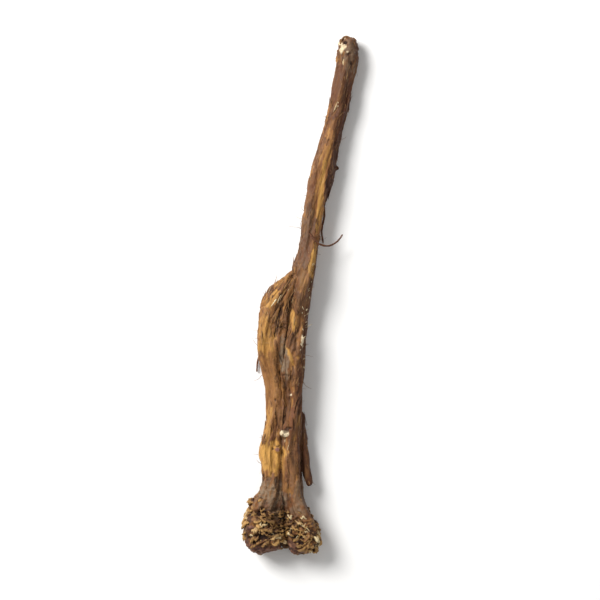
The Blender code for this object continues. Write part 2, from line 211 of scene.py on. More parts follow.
class Grain:
    """Smooth lattice noise, worked out for many points at once."""

    CELLS = 256
    # Brings the noise to about -1 to 1
    GAIN = 1.7

    def __init__(self, seed: int) -> None:
        """Draws the lattice.

        Args:
            seed: Fixes the pattern.
        """
        draw = np.random.default_rng(seed)
        self.order = draw.permutation(self.CELLS)
        slopes = draw.normal(size=(self.CELLS, 3))
        self.slopes = slopes / np.linalg.norm(slopes, axis=1, keepdims=True)

    def at(self, points: np.ndarray) -> np.ndarray:
        """Reads the noise.

        Args:
            points: Rows of x, y and z, in lattice cells.

        Returns:
            A value from about -1 to 1 for each row.
        """
        cell = np.floor(points).astype(int)
        part = points - cell
        fade = part**3 * (part * (part * 6 - 15) + 10)
        total = np.zeros(len(points))
        last = self.CELLS - 1
        for corner in itertools.product((0, 1), repeat=3):
            x, y, z = (cell + corner).T
            index = self.order[(self.order[(self.order[x & last] + y) & last] + z) & last]
            share = np.prod(np.where(corner, fade, 1 - fade), axis=1)
            total += share * np.sum(self.slopes[index] * (part - corner), axis=1)
        return total * self.GAIN

    def stretched(self, where: np.ndarray, across: float, along: float) -> np.ndarray:
        """Noise on the skin of a strand, drawn out along it.

        Args:
            where: Rows of across, up and along, in millimetres.
            across: The pattern's size round the strand, in millimetres.
            along: Its size along the strand.

        Returns:
            A value from about -1 to 1 for each row.
        """
        return self.at(where / np.array((across, across, along)))


@dataclass
class Strand:
    """A limb of the root: a smooth spine through stations, each with a half width and a half height."""

    # For finding where points lie: how finely the spine is read, and how many points are done at once
    READS_PER_MM = 2
    FEWEST_READS = 24
    POINTS_AT_ONCE = 4000

    stations: Sequence[Station]
    seed: float = 0.0
    cap_start: float = 0.8
    cap_end: float = 0.5
    rows: list[Vector] = field(init=False)
    runs: list[float] = field(init=False)

    def __post_init__(self) -> None:
        """Measures the way along the stations, in millimetres."""
        self.rows = [Vector(row) for row in self.stations]
        self.runs = [0.0]
        for a, b in zip(self.rows, self.rows[1:]):
            self.runs.append(self.runs[-1] + (Vector(b[:3]) - Vector(a[:3])).length)

    @property
    def length(self) -> float:
        """The spine's length."""
        return self.runs[-1]

    def row(self, run: float) -> Vector:
        """Reads the spine.

        Args:
            run: A distance along it.

        Returns:
            The five station values there, on a Catmull-Rom curve.
        """
        last = len(self.rows) - 1
        k = max(i for i in range(last) if self.runs[i] <= run or i == 0)
        t = (run - self.runs[k]) / (self.runs[k + 1] - self.runs[k])
        p0, p1, p2, p3 = (self.rows[min(max(i, 0), last)] for i in (k - 1, k, k + 1, k + 2))
        bend = 2 * p0 - 5 * p1 + 4 * p2 - p3
        turn = 3 * p1 - 3 * p2 + p3 - p0
        return (2 * p1 + (p2 - p0) * t + bend * t**2 + turn * t**3) / 2

    def axes(self, run: float) -> tuple[Vector, Vector, Vector]:
        """Finds the local directions.

        Args:
            run: A distance along the spine.

        Returns:
            The directions along, across and up.
        """
        step = self.length / 200
        behind = self.row(max(run - step, 0.0))
        before = self.row(min(run + step, self.length))
        ahead = (Vector(before[:3]) - Vector(behind[:3])).normalized()
        across = ahead.cross(UP).normalized()
        return ahead, across, across.cross(ahead)

    def point(self, run: float, angle: float, lift: float = 0.0, share: float = 1.0) -> Vector:
        """Finds a point of the skin.

        Args:
            run: A distance along the spine.
            angle: The turn round it.
            lift: How far the point stands out, as a share of the local size.
            share: How much of the section is left, less than one in a rounded end.

        Returns:
            The point, in the root's own millimetres.
        """
        row = self.row(run)
        _, across, up = self.axes(run)
        section = across * (row[3] * math.cos(angle)) + up * (row[4] * math.sin(angle))
        return Vector(row[:3]) + section * ((1 + lift) * share)

    def outward(self, run: float, angle: float) -> Vector:
        """Finds the way out of the skin.

        Args:
            run: A distance along the spine.
            angle: The turn round it.

        Returns:
            The direction away from the spine.
        """
        _, across, up = self.axes(run)
        return across * math.cos(angle) + up * math.sin(angle)

    def closing(self, run: float) -> float:
        """Gives the share of the full section that is left at a distance along the spine."""
        near = min(run / self.cap_start, (self.length - run) / self.cap_end, 1.0)
        return math.sqrt(max(0.0, 1 - (1 - near) ** 2))

    def locate(self, points: np.ndarray) -> tuple[np.ndarray, np.ndarray, np.ndarray]:
        """Finds where points lie on the strand.

        Args:
            points: Rows of x, y and z, in the root's own millimetres.

        Returns:
            Rows of across, up and along, how far out each point is as a share of the local size, and the ways
            along the spine.
        """
        count = max(self.FEWEST_READS, round(self.length * self.READS_PER_MM))
        runs = np.linspace(0.0, self.length, count)
        rows = np.array([self.row(run) for run in runs])
        axes = np.array([self.axes(run) for run in runs])
        nearest = np.concatenate([
            np.argmin(((part[:, None, :] - rows[None, :, :3]) ** 2).sum(axis=2), axis=1)
            for part in np.array_split(points, max(1, len(points) // self.POINTS_AT_ONCE))
        ])
        offset = points - rows[nearest, :3]
        ahead, across, up = (np.einsum("ij,ij->i", offset, axes[nearest, k]) for k in range(3))
        reach = np.hypot(across / rows[nearest, 3], up / rows[nearest, 4])
        beyond = np.maximum(0.0, np.abs(ahead) - self.length / count)
        return np.column_stack((across, up, runs[nearest] + ahead)), reach + beyond, axes[nearest, 0]


@dataclass(frozen=True)
class SourceRelief:
    """The wrinkles that the solid already has: heights as shares of the local size, lengths in metres."""

    wrinkle_height: float = 0.30
    furrow_depth: float = 0.17
    furrow_width: float = 0.16
    lump_height: float = 0.12
    wrinkle_spread: float = 1.35
    furrow_spread: float = 1.7
    lump_spread: float = 0.5
    wrinkles_per_metre: float = 48.0
    furrows_per_metre: float = 30.0
    lumps_per_metre: float = 120.0
    winding: float = 18.0

    def lift(self, run: float, angle: float, seed: float) -> float:
        """How far the skin stands in or out.

        Args:
            run: A distance along the strand, in millimetres.
            angle: The turn round it.
            seed: Fixes the pattern.

        Returns:
            The lift as a share of the local size.
        """
        metres = run * MM
        winding = angle + self.winding * metres

        def pattern(turn: float, spread: float, per_metre: float, offset: float) -> float:
            """One noise pattern on the skin."""
            where = Vector((spread * math.cos(turn), spread * math.sin(turn), per_metre * metres + offset))
            return noise.noise(where)

        wrinkle = pattern(winding, self.wrinkle_spread, self.wrinkles_per_metre, seed)
        furrow = abs(pattern(winding, self.furrow_spread, self.furrows_per_metre, -seed))
        lump = pattern(angle, self.lump_spread, self.lumps_per_metre, 2 * seed)
        depth = self.furrow_depth * max(0.0, 1 - furrow / self.furrow_width)
        return self.wrinkle_height * wrinkle + self.lump_height * lump - depth


LONG = Strand(LONG_LEG, seed=3.0, cap_start=2.6, cap_end=2.4)
SHORT = Strand(SHORT_LEG, seed=11.0, cap_start=2.6, cap_end=1.1)
SIDE = Strand(SIDE_ROOT, seed=19.0, cap_start=1.0, cap_end=0.6)
TORN = tuple(Strand(strip, seed=30.0 + k) for k, strip in enumerate(TORN_STRIPS))
RELIEF = SourceRelief()


def in_frame(point: Vector) -> Vector:
    """Moves a point from the root's own millimetres to the frame's metres."""
    return (point + Vector(MIDDLE)) * MM


def finished(name: str, shape: bmesh.types.BMesh, material: bpy.types.Material) -> bpy.types.Object:
    """Makes a piece of a shape, with its place in its mesh.

    Args:
        name: The piece's name.
        shape: The shape, in the frame's metres, which is freed.
        material: Its finish.

    Returns:
        The piece's object.
    """
    mesh = bpy.data.meshes.new(name)
    shape.to_mesh(mesh)
    shape.free()
    mesh.materials.append(material)
    mesh.shade_smooth()
    piece = bpy.data.objects.new(name, mesh)
    bpy.context.scene.collection.objects.link(piece)
    return piece


def sweep(
    shape: bmesh.types.BMesh, rings: int, sides: int, place: Callable[[int, float], Vector],
    tone: Optional[float] = None, edge: Callable[[int, float], float] = lambda ring, turn: 0.4,
) -> list[bmesh.types.BMVert]:
    """Adds a closed skin that is wrapped round a spine.

    Args:
        shape: Takes the skin.
        rings: How many rings it has, of which the end ones may be points.
        sides: How many sides each ring has.
        place: Gives the point of a ring at a turn.
        tone: A share that differs from piece to piece, for the torn finishes, or none where they aren't used.
        edge: Gives how near a free edge a point is, from zero to one, for the same finishes.

    Returns:
        The skin's vertices, before its seam is merged.
    """
    made = bmesh.ops.create_grid(shape, x_segments=rings - 1, y_segments=sides, size=1.0)["verts"]
    for corner in made:
        ring = round((corner.co.x + 1) / 2 * (rings - 1))
        turn = math.tau * (round((corner.co.y + 1) / 2 * sides) % sides) / sides
        corner.co = place(ring, turn)
        if tone is not None:
            corner[shape.verts.layers.float["tone"]] = tone
            corner[shape.verts.layers.float["edge"]] = edge(ring, turn)
    return made


def close_seams(shape: bmesh.types.BMesh) -> None:
    """Merges a shape's seams and poles, and points its faces outwards.

    Args:
        shape: The shape to close.
    """
    bmesh.ops.remove_doubles(shape, verts=shape.verts, dist=SEAM_GAP)
    open_edges = [edge for edge in shape.edges if edge.is_boundary]
    if open_edges:
        bmesh.ops.holes_fill(shape, edges=open_edges)
    bmesh.ops.recalc_face_normals(shape, faces=shape.faces)


def linear(hex_colour: str) -> tuple[float, float, float, float]:
    """Turns an sRGB hex colour to linear light.

    Args:
        hex_colour: Six hex digits after a hash sign.

    Returns:
        Red, green, blue and an alpha of one.
    """
    values = [int(hex_colour[k : k + 2], 16) / 255 for k in (1, 3, 5)]
    red, green, blue = (v / 12.92 if v <= 0.04045 else ((v + 0.055) / 1.055) ** 2.4 for v in values)
    return red, green, blue, 1.0


def node(
    tree: bpy.types.NodeTree, kind: str, settings: Optional[dict[str | int, object]] = None,
    **links: bpy.types.Node | bpy.types.NodeSocket,
) -> bpy.types.Node:
    """Adds a shader node with its settings and links.

    Args:
        tree: The node tree.
        kind: The node's type, without the ShaderNode at its start.
        settings: Attributes of the node, values of its inputs under their name or number, and the stops of a
            colour ramp as pairs of a place and a hex colour.
        **links: Nodes or their sockets, under the input's name with underscores for its spaces, or under i
            and its number.

    Returns:
        The node.
    """
    made = tree.nodes.new("ShaderNode" + kind)
    for key, value in (settings or {}).items():
        if key == "stops":
            line = made.color_ramp.elements
            for place, colour in value[1:-1]:
                line.new(place)
            for element, (place, colour) in zip(line, value):
                element.position, element.color = place, linear(colour)
        elif isinstance(key, int) or key in made.inputs:
            made.inputs[key].default_value = value
        else:
            setattr(made, key, value)
    for key, source in links.items():
        index = int(key[1:]) if key[0] == "i" and key[1:].isdigit() else key.replace("_", " ")
        if isinstance(source, bpy.types.Node):
            source = next(socket for socket in source.outputs if socket.enabled)
        tree.links.new(source, made.inputs[index])
    return made


class Patch(Enum):
    """What shows at a marked place of the skin."""

    # Golden inner bark, grey dust, and the cream of broken wood
    OCHRE = "ochre"
    DUST = "dust"
    CREAM = "cream"
    # No outer bark, and few wrinkles
    BARE = "bare"
    CALM = "calm"
    # Darker bark, a reddish knot, and golden scales
    SHADE = "shade"
    KNOT = "knot"
    CRUST = "crust"
    # A pit or a split, painted dark partly as shade and partly as the split's own colour, and dust where the
    # scales have worn off the crown
    DARK = "dark"
    WORN = "worn"


@dataclass(frozen=True)
class Mark:
    """A marked place on the root's upper side, in the root's own millimetres."""

    kind: Patch
    x: float
    y: float
    half_width: float
    half_length: float
    ragged: float = 0.35
    lean: float = 0.0
    strength: float = 1.0

    def far(self, x: np.ndarray | float, y: np.ndarray | float) -> np.ndarray | float:
        """Gives how far a place is from the mark's middle, where one is its edge."""
        along = y - self.y
        return np.hypot((x - self.x - self.lean * along) / self.half_width, along / self.half_length)


MARKS: tuple[Mark, ...] = (
    Mark(Patch.OCHRE, -8.0, -47.2, 3.8, 5.3, ragged=0.5, strength=0.95),
    Mark(Patch.OCHRE, -9.8, -38.0, 1.4, 6.0, ragged=0.7, strength=0.4),
    Mark(Patch.OCHRE, -11.8, -45.2, 1.4, 3.4, strength=0.9),
    Mark(Patch.OCHRE, 3.7, 9.8, 1.0, 3.9, ragged=0.6, lean=0.12, strength=0.9),
    Mark(Patch.OCHRE, 6.1, 29.5, 0.8, 11.0, ragged=0.45, lean=0.1, strength=0.65),
    Mark(Patch.OCHRE, -10.2, -11.4, 2.4, 5.6, ragged=0.6, strength=0.55),
    Mark(Patch.OCHRE, -8.0, -1.4, 1.6, 3.0, ragged=0.9, lean=0.5, strength=0.6),
    Mark(Patch.OCHRE, -2.0, -7.2, 0.7, 3.6, ragged=0.5, lean=-0.1, strength=0.8),
    Mark(Patch.OCHRE, -2.9, -17.4, 0.5, 2.8, ragged=0.6, lean=-0.35, strength=0.7),
    Mark(Patch.BARE, -9.4, -24.0, 2.2, 22.0, ragged=0.6),
    Mark(Patch.BARE, -9.8, -8.0, 2.6, 8.0, ragged=0.4),
    Mark(Patch.BARE, 7.0, 38.0, 1.5, 18.0, lean=0.2),
    Mark(Patch.SHADE, 12.6, 62.0, 4.0, 14.0, ragged=0.5, lean=0.2, strength=0.6),
    Mark(Patch.SHADE, -3.4, -30.0, 0.8, 14.0, ragged=0.6, strength=0.35),
    Mark(Patch.SHADE, 1.4, 14.0, 2.2, 17.0, ragged=0.5, lean=0.16, strength=0.5),
    Mark(Patch.SHADE, -5.2, -60.6, 1.9, 4.6, ragged=0.5, strength=0.6),
    Mark(Patch.DUST, 1.0, 8.0, 2.2, 9.0, ragged=0.7, strength=0.2),
    Mark(Patch.CALM, -8.6, -26.0, 2.8, 14.0, ragged=0.3),
    Mark(Patch.CALM, -10.0, -11.0, 3.2, 6.5, ragged=0.3),
    Mark(Patch.CALM, -8.6, -57.4, 3.4, 3.2, ragged=0.3),
    Mark(Patch.CALM, 8.0, 46.0, 4.0, 24.0, ragged=0.3, lean=0.22),
    Mark(Patch.CALM, -14.3, -68.0, 1.3, 1.0, ragged=0.2),
    Mark(Patch.CALM, -2.6, -72.8, 2.2, 1.5, ragged=0.3, lean=-0.5),
    Mark(Patch.DUST, -8.6, -59.4, 4.8, 5.6, ragged=0.5),
    Mark(Patch.DUST, 0.0, -60.0, 2.4, 6.4, ragged=0.5, strength=0.6),
    Mark(Patch.DUST, -4.6, -18.0, 1.3, 6.4, ragged=0.6, lean=-0.12),
    Mark(Patch.DUST, 1.8, 19.0, 1.8, 8.0, ragged=0.7, lean=0.12, strength=0.4),
    Mark(Patch.DUST, 14.4, 71.0, 1.8, 7.0, ragged=0.6, strength=0.6),
    Mark(Patch.CREAM, -4.5, -40.2, 1.35, 1.05, ragged=0.1),
    Mark(Patch.CREAM, 0.4, -13.0, 0.35, 1.8, ragged=0.7),
    Mark(Patch.CREAM, -2.7, -28.9, 0.35, 0.3, ragged=0.4, strength=0.8),
    Mark(Patch.CREAM, 12.5, 72.8, 0.8, 1.3, ragged=0.5, lean=0.25, strength=0.75),
    Mark(Patch.CREAM, 11.9, 74.4, 0.5, 0.5, ragged=0.4, strength=0.9),
    Mark(Patch.CREAM, 13.9, 71.9, 0.35, 0.3, ragged=0.3, strength=0.5),
    Mark(Patch.CREAM, 13.1, 76.2, 0.4, 0.35, ragged=0.2, strength=0.5),
    Mark(Patch.KNOT, -6.6, -44.9, 0.9, 0.75, ragged=0.2),
    Mark(Patch.CRUST, -16.2, -63.4, 1.6, 3.2),
    Mark(Patch.CRUST, -11.8, -67.1, 2.9, 2.2),
    Mark(Patch.CRUST, -6.2, -71.6, 2.4, 2.0),
    Mark(Patch.CRUST, -3.0, -69.4, 1.3, 1.5),
    Mark(Patch.CRUST, 0.4, -69.0, 2.4, 2.9),
    Mark(Patch.CRUST, 5.3, -71.8, 1.8, 2.6),
    Mark(Patch.WORN, -6.9, -61.9, 1.9, 4.2, ragged=0.4, lean=-0.15),
    Mark(Patch.DARK, -5.9, -5.6, 0.55, 5.2, ragged=0.6, lean=0.25, strength=0.85),
    Mark(Patch.DARK, -6.2, -65.4, 1.7, 2.6, ragged=0.7, strength=0.12),
    Mark(Patch.DARK, -3.4, -71.4, 0.6, 2.9, ragged=0.4, lean=-0.75, strength=0.5),
    Mark(Patch.DARK, -10.6, -70.5, 2.0, 1.1, ragged=0.6, strength=0.95),
    Mark(Patch.DARK, -4.1, -39.4, 0.95, 0.75, ragged=0.15, strength=0.75),
    Mark(Patch.DARK, -3.3, -38.6, 0.8, 0.4, ragged=0.3, strength=0.9),
    Mark(Patch.DARK, -4.1, -28.4, 0.24, 9.6, ragged=0.3, strength=0.5),
    Mark(Patch.DARK, -3.1, -29.4, 0.22, 7.6, ragged=0.3, strength=0.45),
    Mark(Patch.DARK, -6.6, -43.9, 0.8, 0.25, ragged=0.5, strength=0.7),
    Mark(Patch.DARK, -7.9, -44.8, 0.25, 0.5, ragged=0.5, strength=0.6),
    Mark(Patch.DARK, 13.2, 74.8, 0.65, 0.5, ragged=0.3),
    Mark(Patch.DARK, 14.0, 71.1, 0.8, 0.4, ragged=0.4, strength=0.7),
    Mark(Patch.DARK, 15.3, 68.4, 0.5, 0.7, ragged=0.4, strength=0.7),
    Mark(Patch.DARK, -7.2, -30.4, 0.3, 0.3, ragged=0.3, strength=0.7),
    Mark(Patch.DARK, -4.4, -23.0, 0.9, 0.25, ragged=0.4, strength=0.7),
    Mark(Patch.DARK, -9.4, -53.4, 1.5, 0.5, ragged=0.9, strength=0.5),
    Mark(Patch.DARK, -11.0, -52.8, 0.4, 0.5, ragged=0.9, strength=0.6),
    Mark(Patch.DARK, -7.0, -54.2, 0.5, 1.2, ragged=0.9, strength=0.6),
)
# Each head has a few pale scales of its own
PALE_SCALES: tuple[tuple[float, float], ...] = (
    (-8.0, -69.6), (-9.6, -66.0), (-12.0, -66.8), (-14.3, -70.0), (-3.2, -64.4), (1.0, -64.4), (-3.2, -69.2),
    (-1.0, -67.6), (0.8, -67.0), (-0.6, -70.4), (5.8, -73.2), (3.2, -74.8), (4.8, -70.6),
)
# The start of the side painted with shade across the long leg, and the places on the leg that it is given for
SHADE_SIDE_Y = (12.0, 20.0, 26.0, 36.0, 44.5, 53.0, 62.0, 67.0)
SHADE_SIDE_START = (2.1, 3.0, 2.5, 1.1, 0.5, 0.9, 0.5, 1.6)


@dataclass(frozen=True)
class Site:
    """A place on the finished skin, in the root's own millimetres, with the ways out of it and along it."""

    point: Vector
    out: Vector
    ahead: Vector

    @property
    def side(self) -> Vector:
        """The way across."""
        return self.ahead.cross(self.out).normalized()


@dataclass
class SkinMap:
    """Where the finished skin is, so that finer pieces can grow from it."""

    points: np.ndarray
    outs: np.ndarray
    aheads: np.ndarray
    masks: dict[str, np.ndarray]
    # A place is looked for this near, and each millimetre further away counts as so many down
    near: float = 0.3
    fall: float = 20.0

    def site(self, k: int) -> Site:
        """Gives the place of a vertex of the skin."""
        return Site(Vector(self.points[k]), Vector(self.outs[k]).normalized(), Vector(self.aheads[k]))

    def sites(self, count: int, chance: np.ndarray, seed: int) -> list[Site]:
        """Draws places on the skin.

        Args:
            count: How many to draw.
            chance: How likely each vertex is, from zero up.
            seed: Fixes the draw.

        Returns:
            The places.
        """
        draw = np.random.default_rng(seed)
        picked = draw.choice(len(chance), size=count, replace=False, p=chance / chance.sum())
        return [self.site(k) for k in picked]

    def over(self, x: float, y: float) -> Site:
        """Finds the top of the skin over a place.

        Args:
            x: The place across the root.
            y: The place along it.

        Returns:
            The top of the skin there.
        """
        away = np.hypot(self.points[:, 0] - x, self.points[:, 1] - y)
        beyond = np.maximum(0.0, away - self.near)
        return self.site(int(np.argmax(self.points[:, 2] - self.fall * beyond)))


@dataclass(frozen=True)
class Fold:
    """A pattern of the skin: its size round a strand, its size along it, and its height, in millimetres."""

    across: float
    along: float
    height: float = 1.0

    def on(self, grain: Grain, where: np.ndarray) -> np.ndarray:
        """The pattern's noise on the skin, from about -1 to 1."""
        return grain.stretched(where, self.across, self.along)

    def raised(self, grain: Grain, where: np.ndarray) -> np.ndarray:
        """The same, times the pattern's height."""
        return self.height * self.on(grain, where)


@dataclass(frozen=True)
class Zones:
    """Where each region of the root is, as a value from zero to one at every point of the skin."""

    crown: np.ndarray
    rim: np.ndarray
    tip: np.ndarray
    leg: np.ndarray
    body: np.ndarray
    # The right side and the side strand, painted dark red-brown as shade, with the darker bark patches, and
    # where the side lies deeper than the rest of the leg
    flank: np.ndarray
    step: np.ndarray
    # Where the skin is smooth, and where it is less wrinkled than elsewhere
    smooth: np.ndarray
    calm: np.ndarray
    # Where the groove between the strands has grown together
    filled: np.ndarray


@dataclass(frozen=True)
class Folds:
    """What each pattern of the skin gives at every point of it."""

    crease: np.ndarray
    ridge: np.ndarray
    wrinkle: np.ndarray
    lump: np.ndarray
    knob: np.ndarray
    plate: np.ndarray
    crack: np.ndarray
    fissure: np.ndarray
    fibre: np.ndarray
    groove: np.ndarray
    strip: np.ndarray
    shoulder: np.ndarray
    frill: np.ndarray
    curl: np.ndarray
    pit: np.ndarray
    band: np.ndarray


@dataclass
class Bark:
    """The root's skin as one fine mesh: its strands joined, then wrinkled, cracked and peeled.

    All sizes are in millimetres. Where two values stand for a stretch of the root, what they name begins at
    the first and is whole at the second.
    """

    voxel: float = 0.27
    ring_step: float = 1.0
    sides: int = 40
    clear_of_surface: float = 0.02
    broad: Grain = field(default_factory=lambda: Grain(5))
    fine: Grain = field(default_factory=lambda: Grain(6))
    sheet: Grain = field(default_factory=lambda: Grain(7))
    edge: Grain = field(default_factory=lambda: Grain(41))

    # How far the patterns turn round a strand in each millimetre of it, and how they sway
    winding: float = 0.018
    sway: Fold = Fold(4.5, 9.0, 1.1)
    ridge: Fold = Fold(2.4, 15.0, 0.42)
    wrinkle: Fold = Fold(0.9, 4.5, 0.13)
    lump: Fold = Fold(6.0, 9.0, 0.34)
    knob: Fold = Fold(1.7, 2.72, 0.16)
    strip: Fold = Fold(2.3, 14.0, 0.85)
    plate: Fold = Fold(3.4, 11.0, 0.2)
    plate_fray: tuple[Fold, Fold] = (Fold(1.02, 2.75, 0.35), Fold(0.5, 1.1, 0.14))
    crack: Fold = Fold(2.4, 0.9, 0.13)
    cracked: Fold = Fold(5.0, 9.0)
    fissure: Fold = Fold(3.0, 16.0, 0.6)
    fissured: Fold = Fold(7.0, 14.0)
    fibre: Fold = Fold(0.42, 7.0, 0.06)
    frill: Fold = Fold(5.0, 2.3, 0.5)
    curl: Fold = Fold(1.3, 0.8, 0.3)
    band: Fold = Fold(0.8, 4.5, 0.3)
    calm: Fold = Fold(6.0, 14.0)
    shade_side_fray: tuple[Fold, Fold] = (Fold(1.6, 7.0), Fold(0.5, 1.6, 0.5))
    mark_fray: tuple[Fold, Fold] = (Fold(1.1, 3.4), Fold(0.4, 1.2, 0.5))
    pit_size: float = 2.4
    pit_depth: float = 0.8
    mark_depth: float = 0.5
    step_depth: float = 0.35

    # Stretches of the root's length
    left_crown: tuple[float, float] = (-60.5, -63.5)
    right_crown: tuple[float, float] = (-63.0, -66.5)
    leg_start: tuple[float, float] = (2.0, 18.0)
    tip: tuple[float, float] = (68.5, 73.0)
    dusty_neck: tuple[float, float] = (-52.0, -56.0)
    painted_shade_side: Stretch = ((66.0, 58.0), (16.0, 26.0))
    # The cleft between the heads is raised by this much, and the groove between the strands is filled
    cleft: Stretch = ((-70.0, -67.5), (-54.0, -59.0))
    cleft_fill: float = 0.85
    groove: Stretch = ((-42.0, -35.0), (-3.0, -9.0))
    groove_fill: float = 0.75
    # Where the heads part, and the upper edge of the smooth rim, which climbs on the left
    heads_part_x: float = -4.6
    rim_y: float = -73.1
    rim_climb_x: float = -12.0
    rim_climb: float = 0.5

    def skin(self) -> bpy.types.Object:
        """Joins the strands in one closed skin.

        Returns:
            An object with the remeshed skin, in the frame's metres.
        """
        shape = bmesh.new()
        for strand in (LONG, SHORT, SIDE, *TORN):
            self.add_strand(shape, strand)
        close_seams(shape)
        for foot, radius, heading in SCARS:
            self.add_stub(shape, Vector(foot), radius, Vector(heading).normalized())
        mesh = bpy.data.meshes.new("strands")
        shape.to_mesh(mesh)
        shape.free()
        rough = bpy.data.objects.new("strands", mesh)
        bpy.context.scene.collection.objects.link(rough)
        remesh = rough.modifiers.new("joined", "REMESH")
        remesh.mode = "VOXEL"
        remesh.voxel_size = self.voxel * MM
        evaluated = rough.evaluated_get(bpy.context.evaluated_depsgraph_get())
        joined = bpy.data.meshes.new_from_object(evaluated)
        bpy.data.objects.remove(rough)
        joined.name = "root_bark"
        return bpy.data.objects.new("root_bark", joined)

    def add_strand(self, shape: bmesh.types.BMesh, strand: Strand) -> None:
        """Adds a strand with the source's own wrinkles.

        Args:
            shape: Takes the strand.
            strand: The strand.
        """
        start = [share * strand.cap_start for share in CAP_RINGS]
        finish = [strand.length - share * strand.cap_end for share in reversed(CAP_RINGS)]
        count = max(1, round((finish[0] - start[-1]) / self.ring_step))
        gap = (finish[0] - start[-1]) / count
        runs = start + [start[-1] + gap * k for k in range(1, count)] + finish

        def place(ring: int, turn: float) -> Vector:
            """Finds a point of the wrinkled skin.

            Args:
                ring: The ring's number.
                turn: The turn round it.

            Returns:
                The point, in the frame's metres.
            """
            run = runs[ring]
            lift = RELIEF.lift(run, turn, strand.seed)
            return in_frame(strand.point(run, turn, lift, strand.closing(run)))

        sweep(shape, len(runs), self.sides, place)

    def add_stub(self, shape: bmesh.types.BMesh, foot: Vector, radius: float, heading: Vector) -> None:
        """Adds the stub of a side root that broke away.

        Args:
            shape: Takes the stub.
            foot: Where it leaves the skin.
            radius: Its radius.
            heading: The way it points.
        """
        side = heading.orthogonal().normalized()
        other = heading.cross(side)

        def place(ring: int, turn: float) -> Vector:
            """Finds a point of the stub.

            Args:
                ring: The ring's number.
                turn: The turn round it.

            Returns:
                The point, in the frame's metres.
            """
            depth, share = STUB_RINGS[ring]
            spoke = side * math.cos(turn) + other * math.sin(turn)
            return in_frame(foot + heading * (depth * radius) + spoke * (share * radius))

        made = sweep(shape, len(STUB_RINGS), STUB_SIDES, place)
        bmesh.ops.remove_doubles(shape, verts=made, dist=SEAM_GAP)
        bmesh.ops.recalc_face_normals(shape, faces=shape.faces)

    def dress(self, piece: bpy.types.Object, material: bpy.types.Material) -> SkinMap:
        """Wrinkles the skin, and marks on it what its finish reads.

        Args:
            piece: The object with the joined skin.
            material: Its finish.

        Returns:
            Where the finished skin is.
        """
        mesh = piece.data
        count = len(mesh.vertices)
        places = np.empty(count * 3, dtype=np.float32)
        mesh.vertices.foreach_get("co", places)
        normals = np.empty(count * 3, dtype=np.float32)
        mesh.vertex_normals.foreach_get("vector", normals)
        places = places.reshape(-1, 3).astype(float)
        normals = normals.reshape(-1, 3).astype(float)
        own = places / MM - np.array(MIDDLE)

        where, gap, aheads = self.nearest_strand(own)
        height, masks = self.relief(where, gap, own, self.marks(own, normals))
        places += normals * (height * MM)[:, None]
        places[:, 2] = np.maximum(places[:, 2], self.clear_of_surface * MM)
        mesh.vertices.foreach_set("co", places.astype(np.float32).ravel())
        for name, values in masks.items():
            mesh.attributes.new(name, "FLOAT", "POINT").data.foreach_set("value", values.astype(np.float32))
        grain = mesh.attributes.new("grain", "FLOAT_VECTOR", "POINT")
        grain.data.foreach_set("vector", where.astype(np.float32).ravel())
        mesh.materials.clear()
        mesh.materials.append(material)
        mesh.shade_smooth()
        mesh.update()
        bpy.context.scene.collection.objects.link(piece)
        return SkinMap(places / MM - np.array(MIDDLE), normals, aheads, masks)

    def nearest_strand(self, own: np.ndarray) -> tuple[np.ndarray, np.ndarray, np.ndarray]:
        """Finds each point's strand.

        Args:
            own: Points in the root's own millimetres.

        Returns:
            Rows of across, up and along on the nearest strand, how much further out the points are on the
            next one, and the ways along the nearest.
        """
        found = [strand.locate(own) for strand in (LONG, SHORT, SIDE, *TORN)]
        offsets = [
            where + np.array((0.0, 0.0, STRAND_GAP * k)) for k, (where, _, _) in enumerate(found)
        ]
        reaches = np.array([reach for _, reach, _ in found])
        nearest, second = np.argsort(reaches, axis=0)[:2]
        rows = np.arange(len(own))
        aheads = np.array([ahead for _, _, ahead in found])[nearest, rows]
        return np.array(offsets)[nearest, rows], reaches[second, rows] - reaches[nearest, rows], aheads

    def marks(self, own: np.ndarray, normals: np.ndarray) -> dict[Patch, np.ndarray]:
        """Works out where each kind of mark shows.

        Args:
            own: Points in the root's own millimetres.
            normals: The skin's normals.

        Returns:
            For each kind, a value from zero to one at each point.
        """
        fray, tatter = self.mark_fray
        rough = fray.raised(self.edge, own[:, (0, 2, 1)]) + tatter.raised(self.edge, own[:, (2, 0, 1)])
        upper = smooth_step(-0.35, 0.1, normals[:, 2])
        shown = {kind: np.zeros(len(own)) for kind in Patch}
        for mark in MARKS:
            far = mark.far(own[:, 0], own[:, 1])
            value = smooth_step(1.12, 0.8, far + mark.ragged * rough) * upper * mark.strength
            shown[mark.kind] = np.maximum(shown[mark.kind], value)
        shown[Patch.CREAM] *= 1 - shown[Patch.DARK]
        return shown

